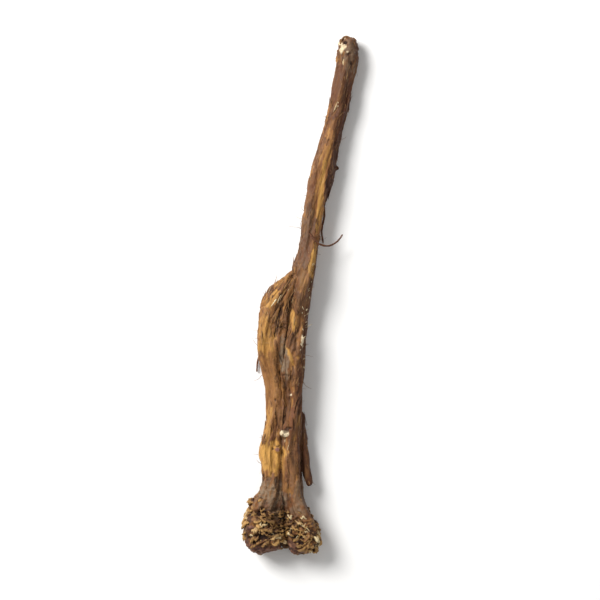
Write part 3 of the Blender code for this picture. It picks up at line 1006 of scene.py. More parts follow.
    def relief(
        self, where: np.ndarray, gap: np.ndarray, own: np.ndarray, marks: dict[Patch, np.ndarray]
    ) -> tuple[np.ndarray, dict[str, np.ndarray]]:
        """Works out the fine relief and the masks that go with it.

        Args:
            where: Rows of across, up and along on the nearest strand.
            gap: How much further out each point is on the next strand.
            own: Points in the root's own millimetres.
            marks: Where each kind of mark shows.

        Returns:
            The height of the skin in millimetres, and the masks by name.
        """
        turn = self.winding * where[:, 2]
        cos, sin = np.cos(turn), np.sin(turn)
        wound = np.column_stack((
            where[:, 0] * cos - where[:, 1] * sin, where[:, 0] * sin + where[:, 1] * cos, where[:, 2]
        ))
        zones = self.zones(where, wound, own, marks)
        folds = self.folds(wound, gap, own, marks, zones)
        crust = zones.crown * (1 - zones.rim)
        ridges = np.clip(folds.ridge + 0.5 * folds.wrinkle + 0.3, 0.0, 1.0)
        masks = {
            "plate": folds.plate,
            # Painted shade in creases, cracks, pits, grooves and gaps, and the dark of the marked splits
            "hollow": self.hollow(zones, folds, marks),
            "ochre": marks[Patch.OCHRE],
            "dust": np.maximum(marks[Patch.DUST], marks[Patch.WORN]),
            "cream": marks[Patch.CREAM],
            "knot": marks[Patch.KNOT],
            "crown": crust * (1 - 0.85 * marks[Patch.WORN]),
            "rim": zones.rim,
            "calm": marks[Patch.CALM] * (1 - zones.crown) * (1 - zones.leg) * (1 - marks[Patch.OCHRE]),
            # Painted shade down the right side and over the side strand, with the darker bark patches
            "flank": zones.flank * (1 - zones.crown),
            # The ridge and frill crests, which the finish lightens with wear and with a painted highlight
            "crest": ridges * zones.body + zones.crown * np.clip(folds.frill, 0, 1),
        }
        return self.height(own[:, 1], zones, folds, marks), masks

    def zones(
        self, where: np.ndarray, wound: np.ndarray, own: np.ndarray, marks: dict[Patch, np.ndarray]
    ) -> Zones:
        """Works out the regions of the root.

        Args:
            where: Rows of across, up and along on the nearest strand.
            wound: The same, turned round the strand as the patterns wind.
            own: Points in the root's own millimetres.
            marks: Where each kind of mark shows.

        Returns:
            The regions.
        """
        x, y, z = own.T
        crown = np.where(
            x < self.heads_part_x, smooth_step(*self.left_crown, y), smooth_step(*self.right_crown, y)
        )
        rim_top = self.rim_y + self.rim_climb * np.maximum(0.0, self.rim_climb_x - x)
        rim = smooth_step(0.3, -0.5, y - rim_top) * smooth_step(0.8, -1.4, x)
        rim *= smooth_step(-1.2, 0.8, where[:, 1])
        tip, leg = smooth_step(*self.tip, y), smooth_step(*self.leg_start, y)
        smooth = np.maximum(marks[Patch.OCHRE], marks[Patch.KNOT])
        flank = self.flank(where, wound, y)
        return Zones(
            crown=crown,
            rim=np.maximum(rim, marks[Patch.CALM] * crown),
            tip=tip,
            leg=leg,
            body=(1 - crown) * (1 - 0.2 * tip),
            flank=np.maximum(flank, marks[Patch.SHADE]),
            step=flank * leg * smooth_step(*self.painted_shade_side[0], y),
            smooth=smooth,
            calm=np.maximum.reduce((
                smooth_step(-0.3, 0.2, self.calm.on(self.sheet, wound)),
                0.85 * smooth,
                0.8 * marks[Patch.CALM],
            )),
            filled=within(self.groove, y) * smooth_step(2.0, 5.0, z),
        )

    def flank(self, where: np.ndarray, wound: np.ndarray, y: np.ndarray) -> np.ndarray:
        """Works out where the bark is painted dark red-brown as shade: down the right side, and all over the
        side strand.

        Args:
            where: Rows of across, up and along on the nearest strand.
            wound: The same, turned round the strand as the patterns wind.
            y: The way along the root, in its own millimetres.

        Returns:
            A value from zero to one for each point.
        """
        fray, tatter = self.shade_side_fray
        ragged = fray.raised(self.broad, wound) + tatter.raised(self.fine, wound)
        across, strand = where[:, 0], where[:, 2] // STRAND_GAP
        leg = within(self.painted_shade_side, y)
        start = np.interp(y, SHADE_SIDE_Y, SHADE_SIDE_START)
        dark = smooth_step(0.0, 0.6, across + (0.9 - 0.4 * leg) * ragged - start) * (0.75 + 0.25 * leg)
        return np.select((strand == 0, strand == 2), (dark, np.full(len(y), 0.8)), 0.25 * dark)

    def folds(
        self, wound: np.ndarray, gap: np.ndarray, own: np.ndarray, marks: dict[Patch, np.ndarray],
        zones: Zones,
    ) -> Folds:
        """Works out the patterns of the skin.

        Args:
            wound: Rows of across, up and along on the nearest strand, turned round it as the patterns wind.
            gap: How much further out each point is on the next strand.
            own: Points in the root's own millimetres.
            marks: Where each kind of mark shows.
            zones: The regions of the root.

        Returns:
            The patterns.
        """
        broad, fine, sheet = self.broad, self.fine, self.sheet
        bent = wound + self.sway.height * np.column_stack((
            self.sway.on(broad, wound), self.sway.on(fine, wound), np.zeros(len(wound))
        ))
        crease = np.abs(self.ridge.on(broad, bent))
        fray, tatter = self.plate_fray
        plate = self.plate.on(sheet, bent) + fray.raised(fine, bent) + tatter.raised(broad, bent)
        plate -= 0.9 * np.maximum(marks[Patch.OCHRE], marks[Patch.BARE])
        plate += 0.5 * marks[Patch.DUST] + 0.2 * zones.tip + 0.25 * zones.flank
        crack = smooth_step(0.1, 0.02, np.abs(self.crack.on(sheet, bent + 11.0)))
        fissure = smooth_step(0.085, 0.0, np.abs(self.fissure.on(sheet, bent + 37.0)))
        strip, shoulder = self.strips(own)
        frill = np.abs(self.frill.on(broad, wound + 5.0))
        pit = smooth_step(0.16, 0.52, sheet.at(own / self.pit_size))
        along, across = self.band.along, self.band.across
        return Folds(
            crease=crease,
            ridge=np.minimum(crease / 0.42, 1.0) ** 0.8 - 0.6,
            wrinkle=np.minimum(np.abs(self.wrinkle.on(fine, bent)) / 0.4, 1.0) - 0.5,
            lump=self.lump.on(sheet, wound),
            knob=self.knob.on(sheet, wound + 71.0),
            plate=smooth_step(-0.09, -0.01, plate),
            crack=crack * smooth_step(-0.1, 0.35, self.cracked.on(fine, wound)),
            fissure=fissure * smooth_step(-0.05, 0.3, self.fissured.on(broad, wound)),
            fibre=self.fibre.on(fine, bent),
            groove=smooth_step(0.24, 0.03, gap),
            strip=strip,
            shoulder=shoulder,
            frill=1 - np.minimum(frill / 0.34, 1.0),
            curl=self.curl.on(fine, wound),
            pit=pit * (1 - zones.rim),
            band=broad.at(own / np.array((along, across, across))),
        )

    def strips(self, own: np.ndarray) -> tuple[np.ndarray, np.ndarray]:
        """Works out the torn strips of the shoulder, which run up and to the right.

        Args:
            own: Points in the root's own millimetres.

        Returns:
            The strips, zero in the gaps and one on the crests, and where the shoulder is.
        """
        x, y, z = own.T
        along, across = 0.6 * x + 0.8 * y, 0.8 * x - 0.6 * y
        bent = np.column_stack((across + 0.7 * self.broad.at(own / 5.0), z * 0.6, along))
        strip = np.minimum(np.abs(self.strip.on(self.fine, bent)) / 0.3, 1.0)
        shoulder = smooth_step(-4.5, 0.5, y - 0.5 * x - 3.0) * smooth_step(7.5, 5.5, y)
        shoulder *= smooth_step(0.2, -1.6, x - 0.3 * y)
        return strip, shoulder

    def height(
        self, y: np.ndarray, zones: Zones, folds: Folds, marks: dict[Patch, np.ndarray]
    ) -> np.ndarray:
        """Adds the patterns up, each where it shows.

        Args:
            y: The way along the root, in its own millimetres.
            zones: The regions of the root.
            folds: The patterns of the skin.
            marks: Where each kind of mark shows.

        Returns:
            How far the skin stands out at each point, in millimetres.
        """
        leg, calm, smooth = zones.leg, zones.calm, zones.smooth
        curl = self.curl.height * folds.curl
        height = zones.body * (
            self.ridge.height * folds.ridge * (1 - 0.6 * leg) * (1 - 0.6 * calm) * (1 - 0.6 * smooth)
            + self.wrinkle.height * folds.wrinkle * (1 - 0.3 * leg) * (1 - 0.75 * calm)
            + self.knob.height * folds.knob
            + self.plate.height * (folds.plate - 0.5) * (1 - 0.5 * smooth)
            - self.crack.height * folds.crack * folds.plate
            - self.fissure.height * folds.fissure * (1 - smooth) * (1 - 0.8 * leg) * (1 - marks[Patch.CALM])
            - self.step_depth * zones.step
            + self.fibre.height * folds.fibre * (1 - folds.plate)
            - (0.12 - self.groove_fill * zones.filled) * folds.groove
        )
        height += self.strip.height * folds.shoulder * (folds.strip - 0.5)
        height += self.lump.height * folds.lump * (1 - 0.4 * zones.crown)
        height += zones.crown * (1 - zones.rim) * (
            self.frill.height * (folds.frill - 0.35) + curl - self.pit_depth * folds.pit
        )
        height += zones.crown * zones.rim * (
            0.2 + 0.2 * folds.wrinkle + 0.3 * folds.knob + 0.4 * curl + self.band.height * folds.band
        )
        height += self.cleft_fill * folds.groove * within(self.cleft, y)
        height -= self.mark_depth * marks[Patch.DARK]
        height += marks[Patch.CREAM] * (0.15 + curl)
        height += marks[Patch.DUST] * smooth_step(*self.dusty_neck, y) * curl
        height += zones.tip * (curl + 0.25 * (folds.frill - 0.4) + 0.2 * folds.knob)
        return height

    def hollow(self, zones: Zones, folds: Folds, marks: dict[Patch, np.ndarray]) -> np.ndarray:
        """Works out how deep in a crease, crack or pit each point lies, for the shade painted there; the dark
        marks add the dark of their splits as well as shade.

        Args:
            zones: The regions of the root.
            folds: The patterns of the skin.
            marks: Where each kind of mark shows.

        Returns:
            A value from zero to one for each point.
        """
        leg, body, crown = zones.leg, zones.body, zones.crown
        unworn = 1 - 0.5 * marks[Patch.WORN]
        deepest = np.maximum.reduce((
            smooth_step(0.16, 0.0, folds.crease) * (0.6 - 0.4 * leg) * (1 - 0.8 * zones.calm) * body,
            folds.fissure * (0.8 - 0.6 * leg) * (1 - zones.smooth) * (1 - marks[Patch.CALM]) * body,
            folds.crack * 0.4 * folds.plate * body,
            folds.groove * (0.6 - 0.45 * zones.filled) * body,
            folds.shoulder * smooth_step(0.22, 0.0, folds.strip) * 0.55,
            crown * zones.rim * smooth_step(-0.25, -0.6, folds.band) * 0.6,
            marks[Patch.DARK],
            crown * (1 - zones.rim) * smooth_step(0.45, -0.1, folds.frill) * 0.8 * unworn,
            crown * folds.pit * unworn,
        ))
        return np.clip(deepest, 0.0, 1.0)


def blank_shape() -> bmesh.types.BMesh:
    """Makes an empty shape.

    Returns:
        A shape whose vertices can hold the edge and tone that the torn finishes read.
    """
    shape = bmesh.new()
    for name in ("edge", "tone"):
        shape.verts.layers.float.new(name)
    return shape


def closed(name: str, shape: bmesh.types.BMesh, material: bpy.types.Material) -> bpy.types.Object:
    """Closes a shape, bends whatever would reach under the surface up onto it, and makes a piece of it.

    Args:
        name: The piece's name.
        shape: The shape, in the frame's metres, which is freed.
        material: Its finish.

    Returns:
        The piece's object.
    """
    close_seams(shape)
    for corner in shape.verts:
        corner.co.z = max(corner.co.z, LOWEST * MM)
    return finished(name, shape, material)


def tube(
    shape: bmesh.types.BMesh, points: Sequence[Triple | Vector], radii: tuple[float, float], sides: int,
    rough: float, seed: float,
) -> None:
    """Adds a thin tapered root.

    Args:
        shape: Takes the root.
        points: The points that its middle line runs through.
        radii: Its radius at the start and at the end.
        sides: How many sides it has.
        rough: How wrinkled it is, as a share of its radius.
        seed: Fixes the wrinkles.
    """
    thick, thin = radii
    spine = Strand([(*point, thick, thick) for point in points])
    count = max(FEWEST_RINGS, round(spine.length / RING_GAP))

    def place(ring: int, turn: float) -> Vector:
        """Finds a point of the root.

        Args:
            ring: The ring's number.
            turn: The turn round it.

        Returns:
            The point, in the frame's metres.
        """
        share = ring / count
        row = spine.row(spine.length * share)
        _, across, up = spine.axes(spine.length * share)
        wrinkle = noise.noise(Vector((1.5 * math.cos(turn), 1.5 * math.sin(turn), ring * 0.5 + seed)))
        knot = noise.noise(Vector((0.0, seed, ring * 0.35)))
        radius = (thick + (thin - thick) * share) * (1 + rough * (wrinkle + knot))
        radius = radius if 0 < ring < count else 0.0
        return in_frame(Vector(row[:3]) + (across * math.cos(turn) + up * math.sin(turn)) * radius)

    sweep(shape, count + 1, sides, place, (seed * 0.37) % 1.0)


@dataclass
class CrownScales:
    """The torn bases of old leaves: curled ledges, and crumbs between them, over both heads of the crown.

    Sizes are in millimetres.
    """

    # On the left head and the right one: how many, the stretch that they cover, and how far it frays
    ledges: tuple[int, int] = (190, 150)
    crumbs: tuple[int, int] = (80, 70)
    start: tuple[float, float] = (1.7, 0.5)
    finish: tuple[float, float] = (12.6, 12.2)
    frayed: float = 1.3
    # How much further up they reach, and how much further out they stand, at the far left of each head
    outer_finish: tuple[float, float] = (3.4, 0.0)
    outer_reach: tuple[float, float] = (0.9, 0.0)
    # How far each head's scales turn from level
    lean: tuple[float, float] = (0.45, 0.9)
    half_width: tuple[float, float] = (0.8, 1.8)
    pale_half_width: tuple[float, float] = (0.6, 1.1)
    reach: tuple[float, float] = (0.7, 1.3)
    thickness: tuple[float, float] = (0.5, 1.0)
    rings: int = 11
    sides: int = 8
    crumb_radius: tuple[float, float] = (0.14, 0.42)
    crumb_rings: int = 7
    crumb_sides: int = 7
    golden_tone: tuple[float, float] = (0.55, 0.95)
    dull_tone: tuple[float, float] = (0.0, 0.45)
    # None grow lower than this, in the cleft, on the smooth rim, or on the left of the right head's end
    lowest: float = 0.7
    cleft_x: float = -4.9
    cleft_width: float = 0.8
    cleft_turn: float = -69.0
    cleft_slope: float = 0.8
    rim_y: float = -72.0
    rim_z: float = 3.0
    upper_z: float = 4.0
    end_y: float = -73.0
    cleft_crumbs: int = 70
    cleft_run: tuple[float, float] = (-69.0, -62.8)
    cleft_spread: float = 0.9
    # Under the smooth rim: how many on each head, and where they may stand round it
    face_ledges: tuple[int, int] = (34, 26)
    face_crumbs: tuple[int, int] = (26, 20)
    face_run: tuple[float, float] = (0.35, 2.3)
    face_turn: tuple[float, float] = (-2.95, -0.2)
    face_width: tuple[float, float] = (0.7, 1.3)
    # The crumbs that join the heads where their ends meet, and how much larger than the others they are
    join_crumbs: int = 34
    join_reach: tuple[tuple[float, float], ...] = ((-4.9, -3.3), (-73.9, -72.2), (3.0, 6.6))
    join_swell: float = 1.7

    def build(self, skin: SkinMap, material: bpy.types.Material) -> bpy.types.Object:
        """Makes the scales of both heads as one piece.

        Args:
            skin: The skin that they grow from.
            material: Their finish.

        Returns:
            The piece.
        """
        dice = random.Random(23)
        shape = blank_shape()
        for head, strand in enumerate((SHORT, LONG)):
            for k in range(self.ledges[head] + self.crumbs[head]):
                angle = k * GOLDEN_ANGLE + dice.uniform(-0.3, 0.3)
                leftwards = max(0.0, -math.cos(angle))
                last = self.finish[head] + self.outer_finish[head] * leftwards
                last += dice.uniform(-self.frayed, self.frayed)
                share = (k % self.ledges[head] + dice.random()) / self.ledges[head]
                run = self.start[head] + (last - self.start[head]) * share
                foot = strand.point(run, angle, -0.1, strand.closing(run))
                if self.bare(foot, head):
                    continue
                golden = self.covered(foot, Patch.CRUST, 1.0)
                tone = dice.uniform(*(self.golden_tone if golden else self.dull_tone))
                site = Site(foot, strand.outward(run, angle), -strand.axes(run)[0])
                if k < self.ledges[head]:
                    width, bend = dice.uniform(*self.half_width), 1 / strand.row(run)[3]
                    spread = 1 + self.outer_reach[head] * leftwards
                    self.ledge(shape, site, bend, self.lean[head], width, tone, dice, spread)
                else:
                    self.crumb(shape, site, tone, (0.35, 0.9), dice)
        for _ in range(self.cleft_crumbs):
            x, y = self.cleft_x + dice.gauss(0.0, self.cleft_spread), dice.uniform(*self.cleft_run)
            self.crumb(shape, skin.over(x, y), 0.2, (0.35, 0.85), dice)
        for x, y in PALE_SCALES:
            site = skin.over(x, y)
            width = dice.uniform(*self.pale_half_width)
            self.ledge(shape, Site(site.point, site.out, -site.ahead), 0.2, 0.8, width, 1.0, dice)
        self.face(shape)
        return closed("crown_scales", shape, material)

    def face(self, shape: bmesh.types.BMesh) -> None:
        """Adds the scales and crumbs under the rim of each head, and the crumbs that join the heads.

        Args:
            shape: Takes them.
        """
        dice = random.Random(47)
        for head, strand in enumerate((SHORT, LONG)):
            for k in range(self.face_ledges[head] + self.face_crumbs[head]):
                run, angle = dice.uniform(*self.face_run), dice.uniform(*self.face_turn)
                foot = strand.point(run, angle, -0.05, strand.closing(run))
                outward = strand.outward(run, angle)
                end_on = 1 - run / strand.cap_start
                out = (outward * (1 - end_on) - strand.axes(run)[0] * (0.3 + end_on)).normalized()
                site = Site(foot, out, (outward - out * outward.dot(out)).normalized())
                if foot.z < self.lowest:
                    continue
                if k < self.face_ledges[head]:
                    width, tone = dice.uniform(*self.face_width), dice.uniform(0.0, 0.6)
                    self.ledge(shape, site, 0.1, 0.9, width, tone, dice, 0.8)
                else:
                    self.crumb(shape, site, dice.uniform(0.0, 0.5), (0.3, 0.8), dice)
        for _ in range(self.join_crumbs):
            foot = Vector([dice.uniform(*reach) for reach in self.join_reach])
            site = Site(foot, UP, Vector((0.0, 1.0, 0.0)))
            self.crumb(shape, site, dice.uniform(0.0, 0.3), (0.2, 0.6), dice, self.join_swell)

    def bare(self, foot: Vector, head: int) -> bool:
        """Says whether no scale grows at a place.

        Args:
            foot: The place, in the root's own millimetres.
            head: The head's number, zero for the left one.

        Returns:
            True where the crown is bare.
        """
        off = foot.x - self.cleft_x - self.cleft_slope * max(0.0, self.cleft_turn - foot.y)
        rim = head == 0 and foot.y < self.rim_y and foot.z > self.rim_z
        end = head == 1 and foot.y < self.end_y and off < 0
        marked = any(
            self.covered(foot, kind, reach)
            for kind, reach in ((Patch.CALM, 0.9), (Patch.DARK, 0.8), (Patch.WORN, 0.85))
        )
        return abs(off) < self.cleft_width or foot.z < self.lowest or rim or end or marked

    def covered(self, foot: Vector, kind: Patch, reach: float) -> bool:
        """Says whether a mark covers a place.

        Args:
            foot: The place, in the root's own millimetres.
            kind: The kind of mark.
            reach: The share of the mark that counts.

        Returns:
            True where a mark of that kind lies over a place on the crown's upper side.
        """
        near = (mark for mark in MARKS if mark.kind is kind and mark.far(foot.x, foot.y) < reach)
        return foot.z > self.upper_z and any(near)

    def ledge(
        self, shape: bmesh.types.BMesh, site: Site, bend: float, most_lean: float, half_width: float,
        tone: float, dice: random.Random, spread: float = 1.0,
    ) -> None:
        """Adds one scale.

        Args:
            shape: Takes the scale.
            site: Where it grows.
            bend: How strongly the head curves there, as one over its radius.
            most_lean: How far it may turn from level.
            half_width: Half its width.
            tone: Its tone.
            dice: Draws its form.
            spread: How much further than usual it stands out.
        """
        reach, thickness = spread * dice.uniform(*self.reach), dice.uniform(*self.thickness)
        lean = dice.uniform(-most_lean, most_lean)
        forward, rise = dice.uniform(0.2, 0.9), dice.uniform(0.4, 0.9)
        curl_out, curl_on = dice.uniform(-0.5, 0.1), dice.uniform(-0.4, 0.6)
        wave, phase, turns = dice.uniform(0.1, 0.42), dice.uniform(0, math.tau), dice.uniform(2.5, 5.0)
        across_way = (site.side + site.ahead * lean).normalized()

        def place(ring: int, turn: float) -> Vector:
            """Finds a point of the scale, which has a flat oval section.

            Args:
                ring: The ring's number.
                turn: The turn round it.

            Returns:
                The point, in the frame's metres.
            """
            across, along = 2 * ring / (self.rings - 1) - 1, 0.5 + 0.5 * math.cos(turn)
            ragged = noise.noise(Vector((across * 3.4 + phase, phase, 0.0)))
            size = 1 - abs(across) ** 3
            length = reach * along * (1 + 0.8 * ragged)
            sway = wave * math.sin(turns * across + phase)
            onward = forward * length + curl_on * length * along
            onward -= 0.5 * thickness * math.sin(turn) * rise
            upward = rise * length + curl_out * length * along
            upward += 0.5 * thickness * math.sin(turn) * (0.3 + forward)
            wide = across * half_width
            return in_frame(
                site.point + across_way * wide + site.ahead * (onward * size + sway)
                + site.out * (upward * size - bend * wide**2 / 2)
            )

        # The edge rises from the scale's foot to its free edge, so the finish paints shade at the foot and a
        # highlight towards the edge
        sweep(shape, self.rings, self.sides, place, tone, lambda ring, turn: 0.5 + 0.5 * math.cos(turn))

    def crumb(
        self, shape: bmesh.types.BMesh, site: Site, tone: float, levels: tuple[float, float],
        dice: random.Random, swell: float = 1.0,
    ) -> None:
        """Adds one crumb of torn tissue.

        Args:
            shape: Takes the crumb.
            site: Where it sits.
            tone: Its tone.
            levels: How near a free edge it may look, which makes it lighter.
            dice: Draws its form.
            swell: How much larger than usual it is.
        """
        radius, seed = swell * dice.uniform(*self.crumb_radius), dice.uniform(0, 50)
        stretch = (dice.uniform(0.8, 1.8), dice.uniform(0.6, 1.0), dice.uniform(0.5, 1.0))

        def place(ring: int, turn: float) -> Vector:
            """Finds a point of the crumb.

            Args:
                ring: The ring's number.
                turn: The turn round it.

            Returns:
                The point, in the frame's metres.
            """
            polar = math.pi * ring / (self.crumb_rings - 1)
            girth = math.sin(polar)
            way = Vector((math.cos(polar), girth * math.cos(turn), girth * math.sin(turn)))
            lump = radius * (1 + 0.5 * noise.noise(way * 1.3 + Vector((seed, 0.0, 0.0))))
            point = site.point + site.side * (way.x * stretch[0] * lump)
            point += site.ahead * (way.y * stretch[1] * lump)
            return in_frame(point + site.out * ((way.z * stretch[2] + 0.9) * lump))

        level = dice.uniform(*levels)
        sweep(shape, self.crumb_rings, self.crumb_sides, place, tone, lambda ring, turn: level)


@dataclass(frozen=True)
class Splinters:
    """The splinters of one place: how many, their sizes in millimetres, their slope and their tone."""

    count: int
    length: tuple[float, float]
    half_width: tuple[float, float]
    rise: tuple[float, float]
    least_tone: float


@dataclass
class TornFibres:
    """Splinters and fibres that stand off the skin where it tore, and the curled lip of the long leg's tip.

    Sizes are in millimetres.
    """

    sides: int = 4
    rings: int = 7
    shoulder: Splinters = Splinters(60, (1.4, 4.6), (0.12, 0.3), (0.05, 0.3), 0.0)
    right_edge: Splinters = Splinters(30, (0.4, 0.9), (0.16, 0.3), (0.5, 1.3), 0.985)
    tip: Splinters = Splinters(5, (0.4, 0.6), (0.1, 0.2), (0.0, 0.1), 0.2)
    side_end: Splinters = Splinters(16, (0.7, 1.8), (0.08, 0.18), (0.1, 0.5), 0.5)
    body: Splinters = Splinters(190, (0.7, 3.0), (0.06, 0.15), (0.02, 0.3), 0.1)
    lip: tuple[Triple, ...] = (
        (12.0, 74.0, 5.0), (12.0, 75.1, 5.2), (12.7, 76.1, 5.0), (13.8, 76.5, 4.8), (15.0, 75.9, 5.0),
        (15.9, 74.6, 5.3), (16.3, 73.2, 5.1),
    )
    lip_radii: tuple[float, float] = (0.36, 0.26)
    lip_sides: int = 8
    lip_rough: float = 0.35
    lip_seed: float = 3.0
    # Where each kind stands: its stretch of the root, and the line along it that the kind stays beside
    shoulder_run: Stretch = ((-15.0, -8.0), (7.0, 3.0))
    shoulder_right: float = -1.5
    edge_run: Stretch = ((-22.0, -17.0), (12.0, 7.0))
    edge_left: float = -3.0
    # The right edge's skin faces at least this much to the right, and this much up
    edge_facing: tuple[float, float] = (0.4, 0.1)
    tip_run: tuple[float, float] = (73.0, 75.0)
    side_end_run: tuple[float, float] = (-52.5, -54.5)
    side_end_last: float = -58.0
    side_end_left: float = 1.2
    body_run: Stretch = ((-64.0, -58.0), (73.0, 70.0))

    def build(self, skin: SkinMap, material: bpy.types.Material) -> bpy.types.Object:
        """Makes the splinters as one piece.

        Args:
            skin: The skin that they tore from.
            material: Their finish.

        Returns:
            The piece.
        """
        dice = random.Random(5)
        shape = blank_shape()
        x, y, _ = skin.points.T
        upward = np.clip(skin.outs[:, 2] + 0.35, 0.0, 1.0)
        shoulder = (x < self.shoulder_right) * within(self.shoulder_run, y)
        rightward, least_up = self.edge_facing
        right_edge = (skin.outs[:, 0] > rightward) * (skin.outs[:, 2] > least_up)
        right_edge = right_edge * within(self.edge_run, y) * (x > self.edge_left)
        tip = smooth_step(*self.tip_run, y)
        side_end = (x > self.side_end_left) * smooth_step(*self.side_end_run, y) * (y > self.side_end_last)
        body = within(self.body_run, y) * (0.25 + skin.masks["hollow"])
        kinds = (
            (shoulder * upward, self.shoulder), (right_edge, self.right_edge), (tip, self.tip),
            (side_end, self.side_end), (body * upward, self.body),
        )
        for seed, (chance, kind) in enumerate(kinds):
            for site in skin.sites(kind.count, chance, seed):
                self.splinter(shape, site, kind, dice)
        tube(shape, self.lip, self.lip_radii, self.lip_sides, self.lip_rough, self.lip_seed)
        return closed("torn_fibres", shape, material)

    def splinter(self, shape: bmesh.types.BMesh, site: Site, kind: Splinters, dice: random.Random) -> None:
        """Adds one splinter, rooted in the skin at one end.

        Args:
            shape: Takes the splinter.
            site: Where it tore.
            kind: The splinters that it is one of.
            dice: Draws its form.
        """
        length, half_width = dice.uniform(*kind.length), dice.uniform(*kind.half_width)
        rise, tone = dice.uniform(*kind.rise), dice.uniform(kind.least_tone, 1.0)
        way = (site.ahead * dice.choice((-1, 1, 1)) + site.side * dice.uniform(-0.3, 0.3)).normalized()
        side, out = way.cross(site.out).normalized(), site.out
        foot = site.point - out * (1.2 * half_width) - way * (0.2 * length)
        drift = dice.uniform(-0.25, 0.25)
        last = self.rings - 1

        def place(ring: int, turn: float) -> Vector:
            """Finds a point of the splinter.

            Args:
                ring: The ring's number.
                turn: The turn round it.

            Returns:
                The point, in the frame's metres.
            """
            share = ring / last
            centre = foot + way * (length * share) + out * (half_width + rise * length * share**2)
            centre += side * (drift * length * share**2)
            size = half_width * (1 - 0.75 * share) if 0 < ring < last else 0.0
            spoke = side * (size * math.cos(turn)) + out * (0.6 * size * math.sin(turn))
            return in_frame(centre + spoke)

        level = dice.uniform(0.3, 0.8)
        sweep(shape, self.rings, self.sides, place, tone, lambda ring, turn: level)


@dataclass
class BarkFlakes:
    """Scraps of outer bark that curl off the skin at the edges of its plates. Sizes are in millimetres."""

    count: int = 300
    half_width: tuple[float, float] = (0.1, 0.3)
    half_length: tuple[float, float] = (0.6, 2.3)
    thickness: float = 0.14
    # They lie between these places along the root
    first_y: float = -66.0
    last_y: float = 74.0
    rings: int = 9
    sides: int = 6

    def build(self, skin: SkinMap, material: bpy.types.Material) -> bpy.types.Object:
        """Makes the flakes as one piece.

        Args:
            skin: The skin that they peel from.
            material: Their finish.

        Returns:
            The piece.
        """
        dice = random.Random(71)
        shape = blank_shape()
        plate_edge = np.clip(1 - np.abs(2 * skin.masks["plate"] - 1), 0.0, 1.0)
        y = skin.points[:, 1]
        chance = plate_edge * (1 - skin.masks["crown"]) * (y > self.first_y) * (y < self.last_y)
        for site in skin.sites(self.count, chance, 9):
            self.flake(shape, site, dice)
        return closed("bark_flakes", shape, material)

    def flake(self, shape: bmesh.types.BMesh, site: Site, dice: random.Random) -> None:
        """Adds one flake, stuck down along one side.

        Args:
            shape: Takes the flake.
            site: Where it lies.
            dice: Draws its form.
        """
        half_width, half_length = dice.uniform(*self.half_width), dice.uniform(*self.half_length)
        curl, tilt, phase = dice.uniform(0.1, 0.8), dice.choice((-1, 1)), dice.uniform(0, 50)
        lean, bow, peel = dice.uniform(-0.3, 0.3), dice.uniform(-0.4, 0.4), dice.uniform(0.0, 0.5)
        ahead = (site.ahead + site.side * lean).normalized()

        def place(ring: int, turn: float) -> Vector:
            """Finds a point of the flake, which has a flat oval section.

            Args:
                ring: The ring's number.
                turn: The turn round it.

            Returns:
                The point, in the frame's metres.
            """
            along = 2 * ring / (self.rings - 1) - 1
            across = math.cos(turn)
            ragged = 1 + 1.1 * noise.noise(Vector((across + phase, along * 3.1, phase)))
            wide = across * half_width * ragged * (1 - abs(along) ** 1.4)
            wide += 0.3 * half_length * bow * along**2
            height = curl * max(0.0, across * tilt) ** 2 * half_width * (1 - along**2)
            height += 0.5 * self.thickness * math.sin(turn) * (1 - along**4) + peel * max(0.0, along) ** 2
            return in_frame(site.point + site.side * wide + ahead * (along * half_length) + site.out * height)

        level = dice.uniform(0.2, 0.6)
        sweep(shape, self.rings, self.sides, place, dice.random(), lambda ring, turn: level)


@dataclass
class Rootlets:
    """The thin side roots, and the fine hairs on the body. Sizes are in millimetres."""

    sides: int = 10
    taper: tuple[float, float] = (0.85, 0.5)
    wrinkled: float = 0.3
    hairs: int = 80
    hair_run: Stretch = ((-56.0, -50.0), (72.0, 66.0))
    hair_radius: tuple[float, float] = (0.04, 0.075)
    hair_length: tuple[float, float] = (1.2, 6.5)
    hair_sides: int = 4
    # A hair starts this deep in the skin, and bends and sags by these shares at each of its joints
    hair_depth: float = 0.2
    hair_joints: int = 4
    hair_bend: float = 0.5
    hair_sag: float = 0.14
    # It stays this near the root's middle, and this far above the surface
    side_limit: float = 17.0
    hair_lowest: float = 0.15

    def build(self, material: bpy.types.Material) -> bpy.types.Object:
        """Makes the side roots as one piece.

        Args:
            material: Their finish.

        Returns:
            The piece.
        """
        shape = blank_shape()
        for k, (points, radius) in enumerate(ROOTLETS):
            thick, thin = (radius * share for share in self.taper)
            tube(shape, points, (thick, thin), self.sides, self.wrinkled, 7.0 * k)
        return closed("rootlets", shape, material)

    def build_hairs(self, skin: SkinMap, material: bpy.types.Material) -> bpy.types.Object:
        """Makes the hairs as one piece.

        Args:
            skin: The skin that they grow from.
            material: Their finish.

        Returns:
            The piece.
        """
        dice = random.Random(13)
        shape = blank_shape()
        sideways = np.clip(np.abs(skin.outs[:, 0]) - 0.3, 0.0, 1.0)
        chance = sideways * within(self.hair_run, skin.points[:, 1])
        for site in skin.sites(self.hairs, chance, 17):
            length = dice.uniform(*self.hair_length) * dice.uniform(0.3, 1.0)
            way = (site.out + site.ahead * dice.uniform(-1.6, 1.6)).normalized()
            point = site.point - site.out * self.hair_depth
            points = [point]
            for _ in range(self.hair_joints):
                bend = Vector([dice.uniform(-self.hair_bend, self.hair_bend) for _ in range(3)])
                way = (way + bend - UP * self.hair_sag).normalized()
                point = point + way * (length / self.hair_joints)
                x = max(-self.side_limit, min(self.side_limit, point.x))
                points.append(Vector((x, point.y, max(point.z, self.hair_lowest))))
            radius = dice.uniform(*self.hair_radius)
            tube(shape, points, (radius, radius * 0.5), self.hair_sides, 0.0, dice.uniform(0, 9))
        return closed("root_hairs", shape, material)


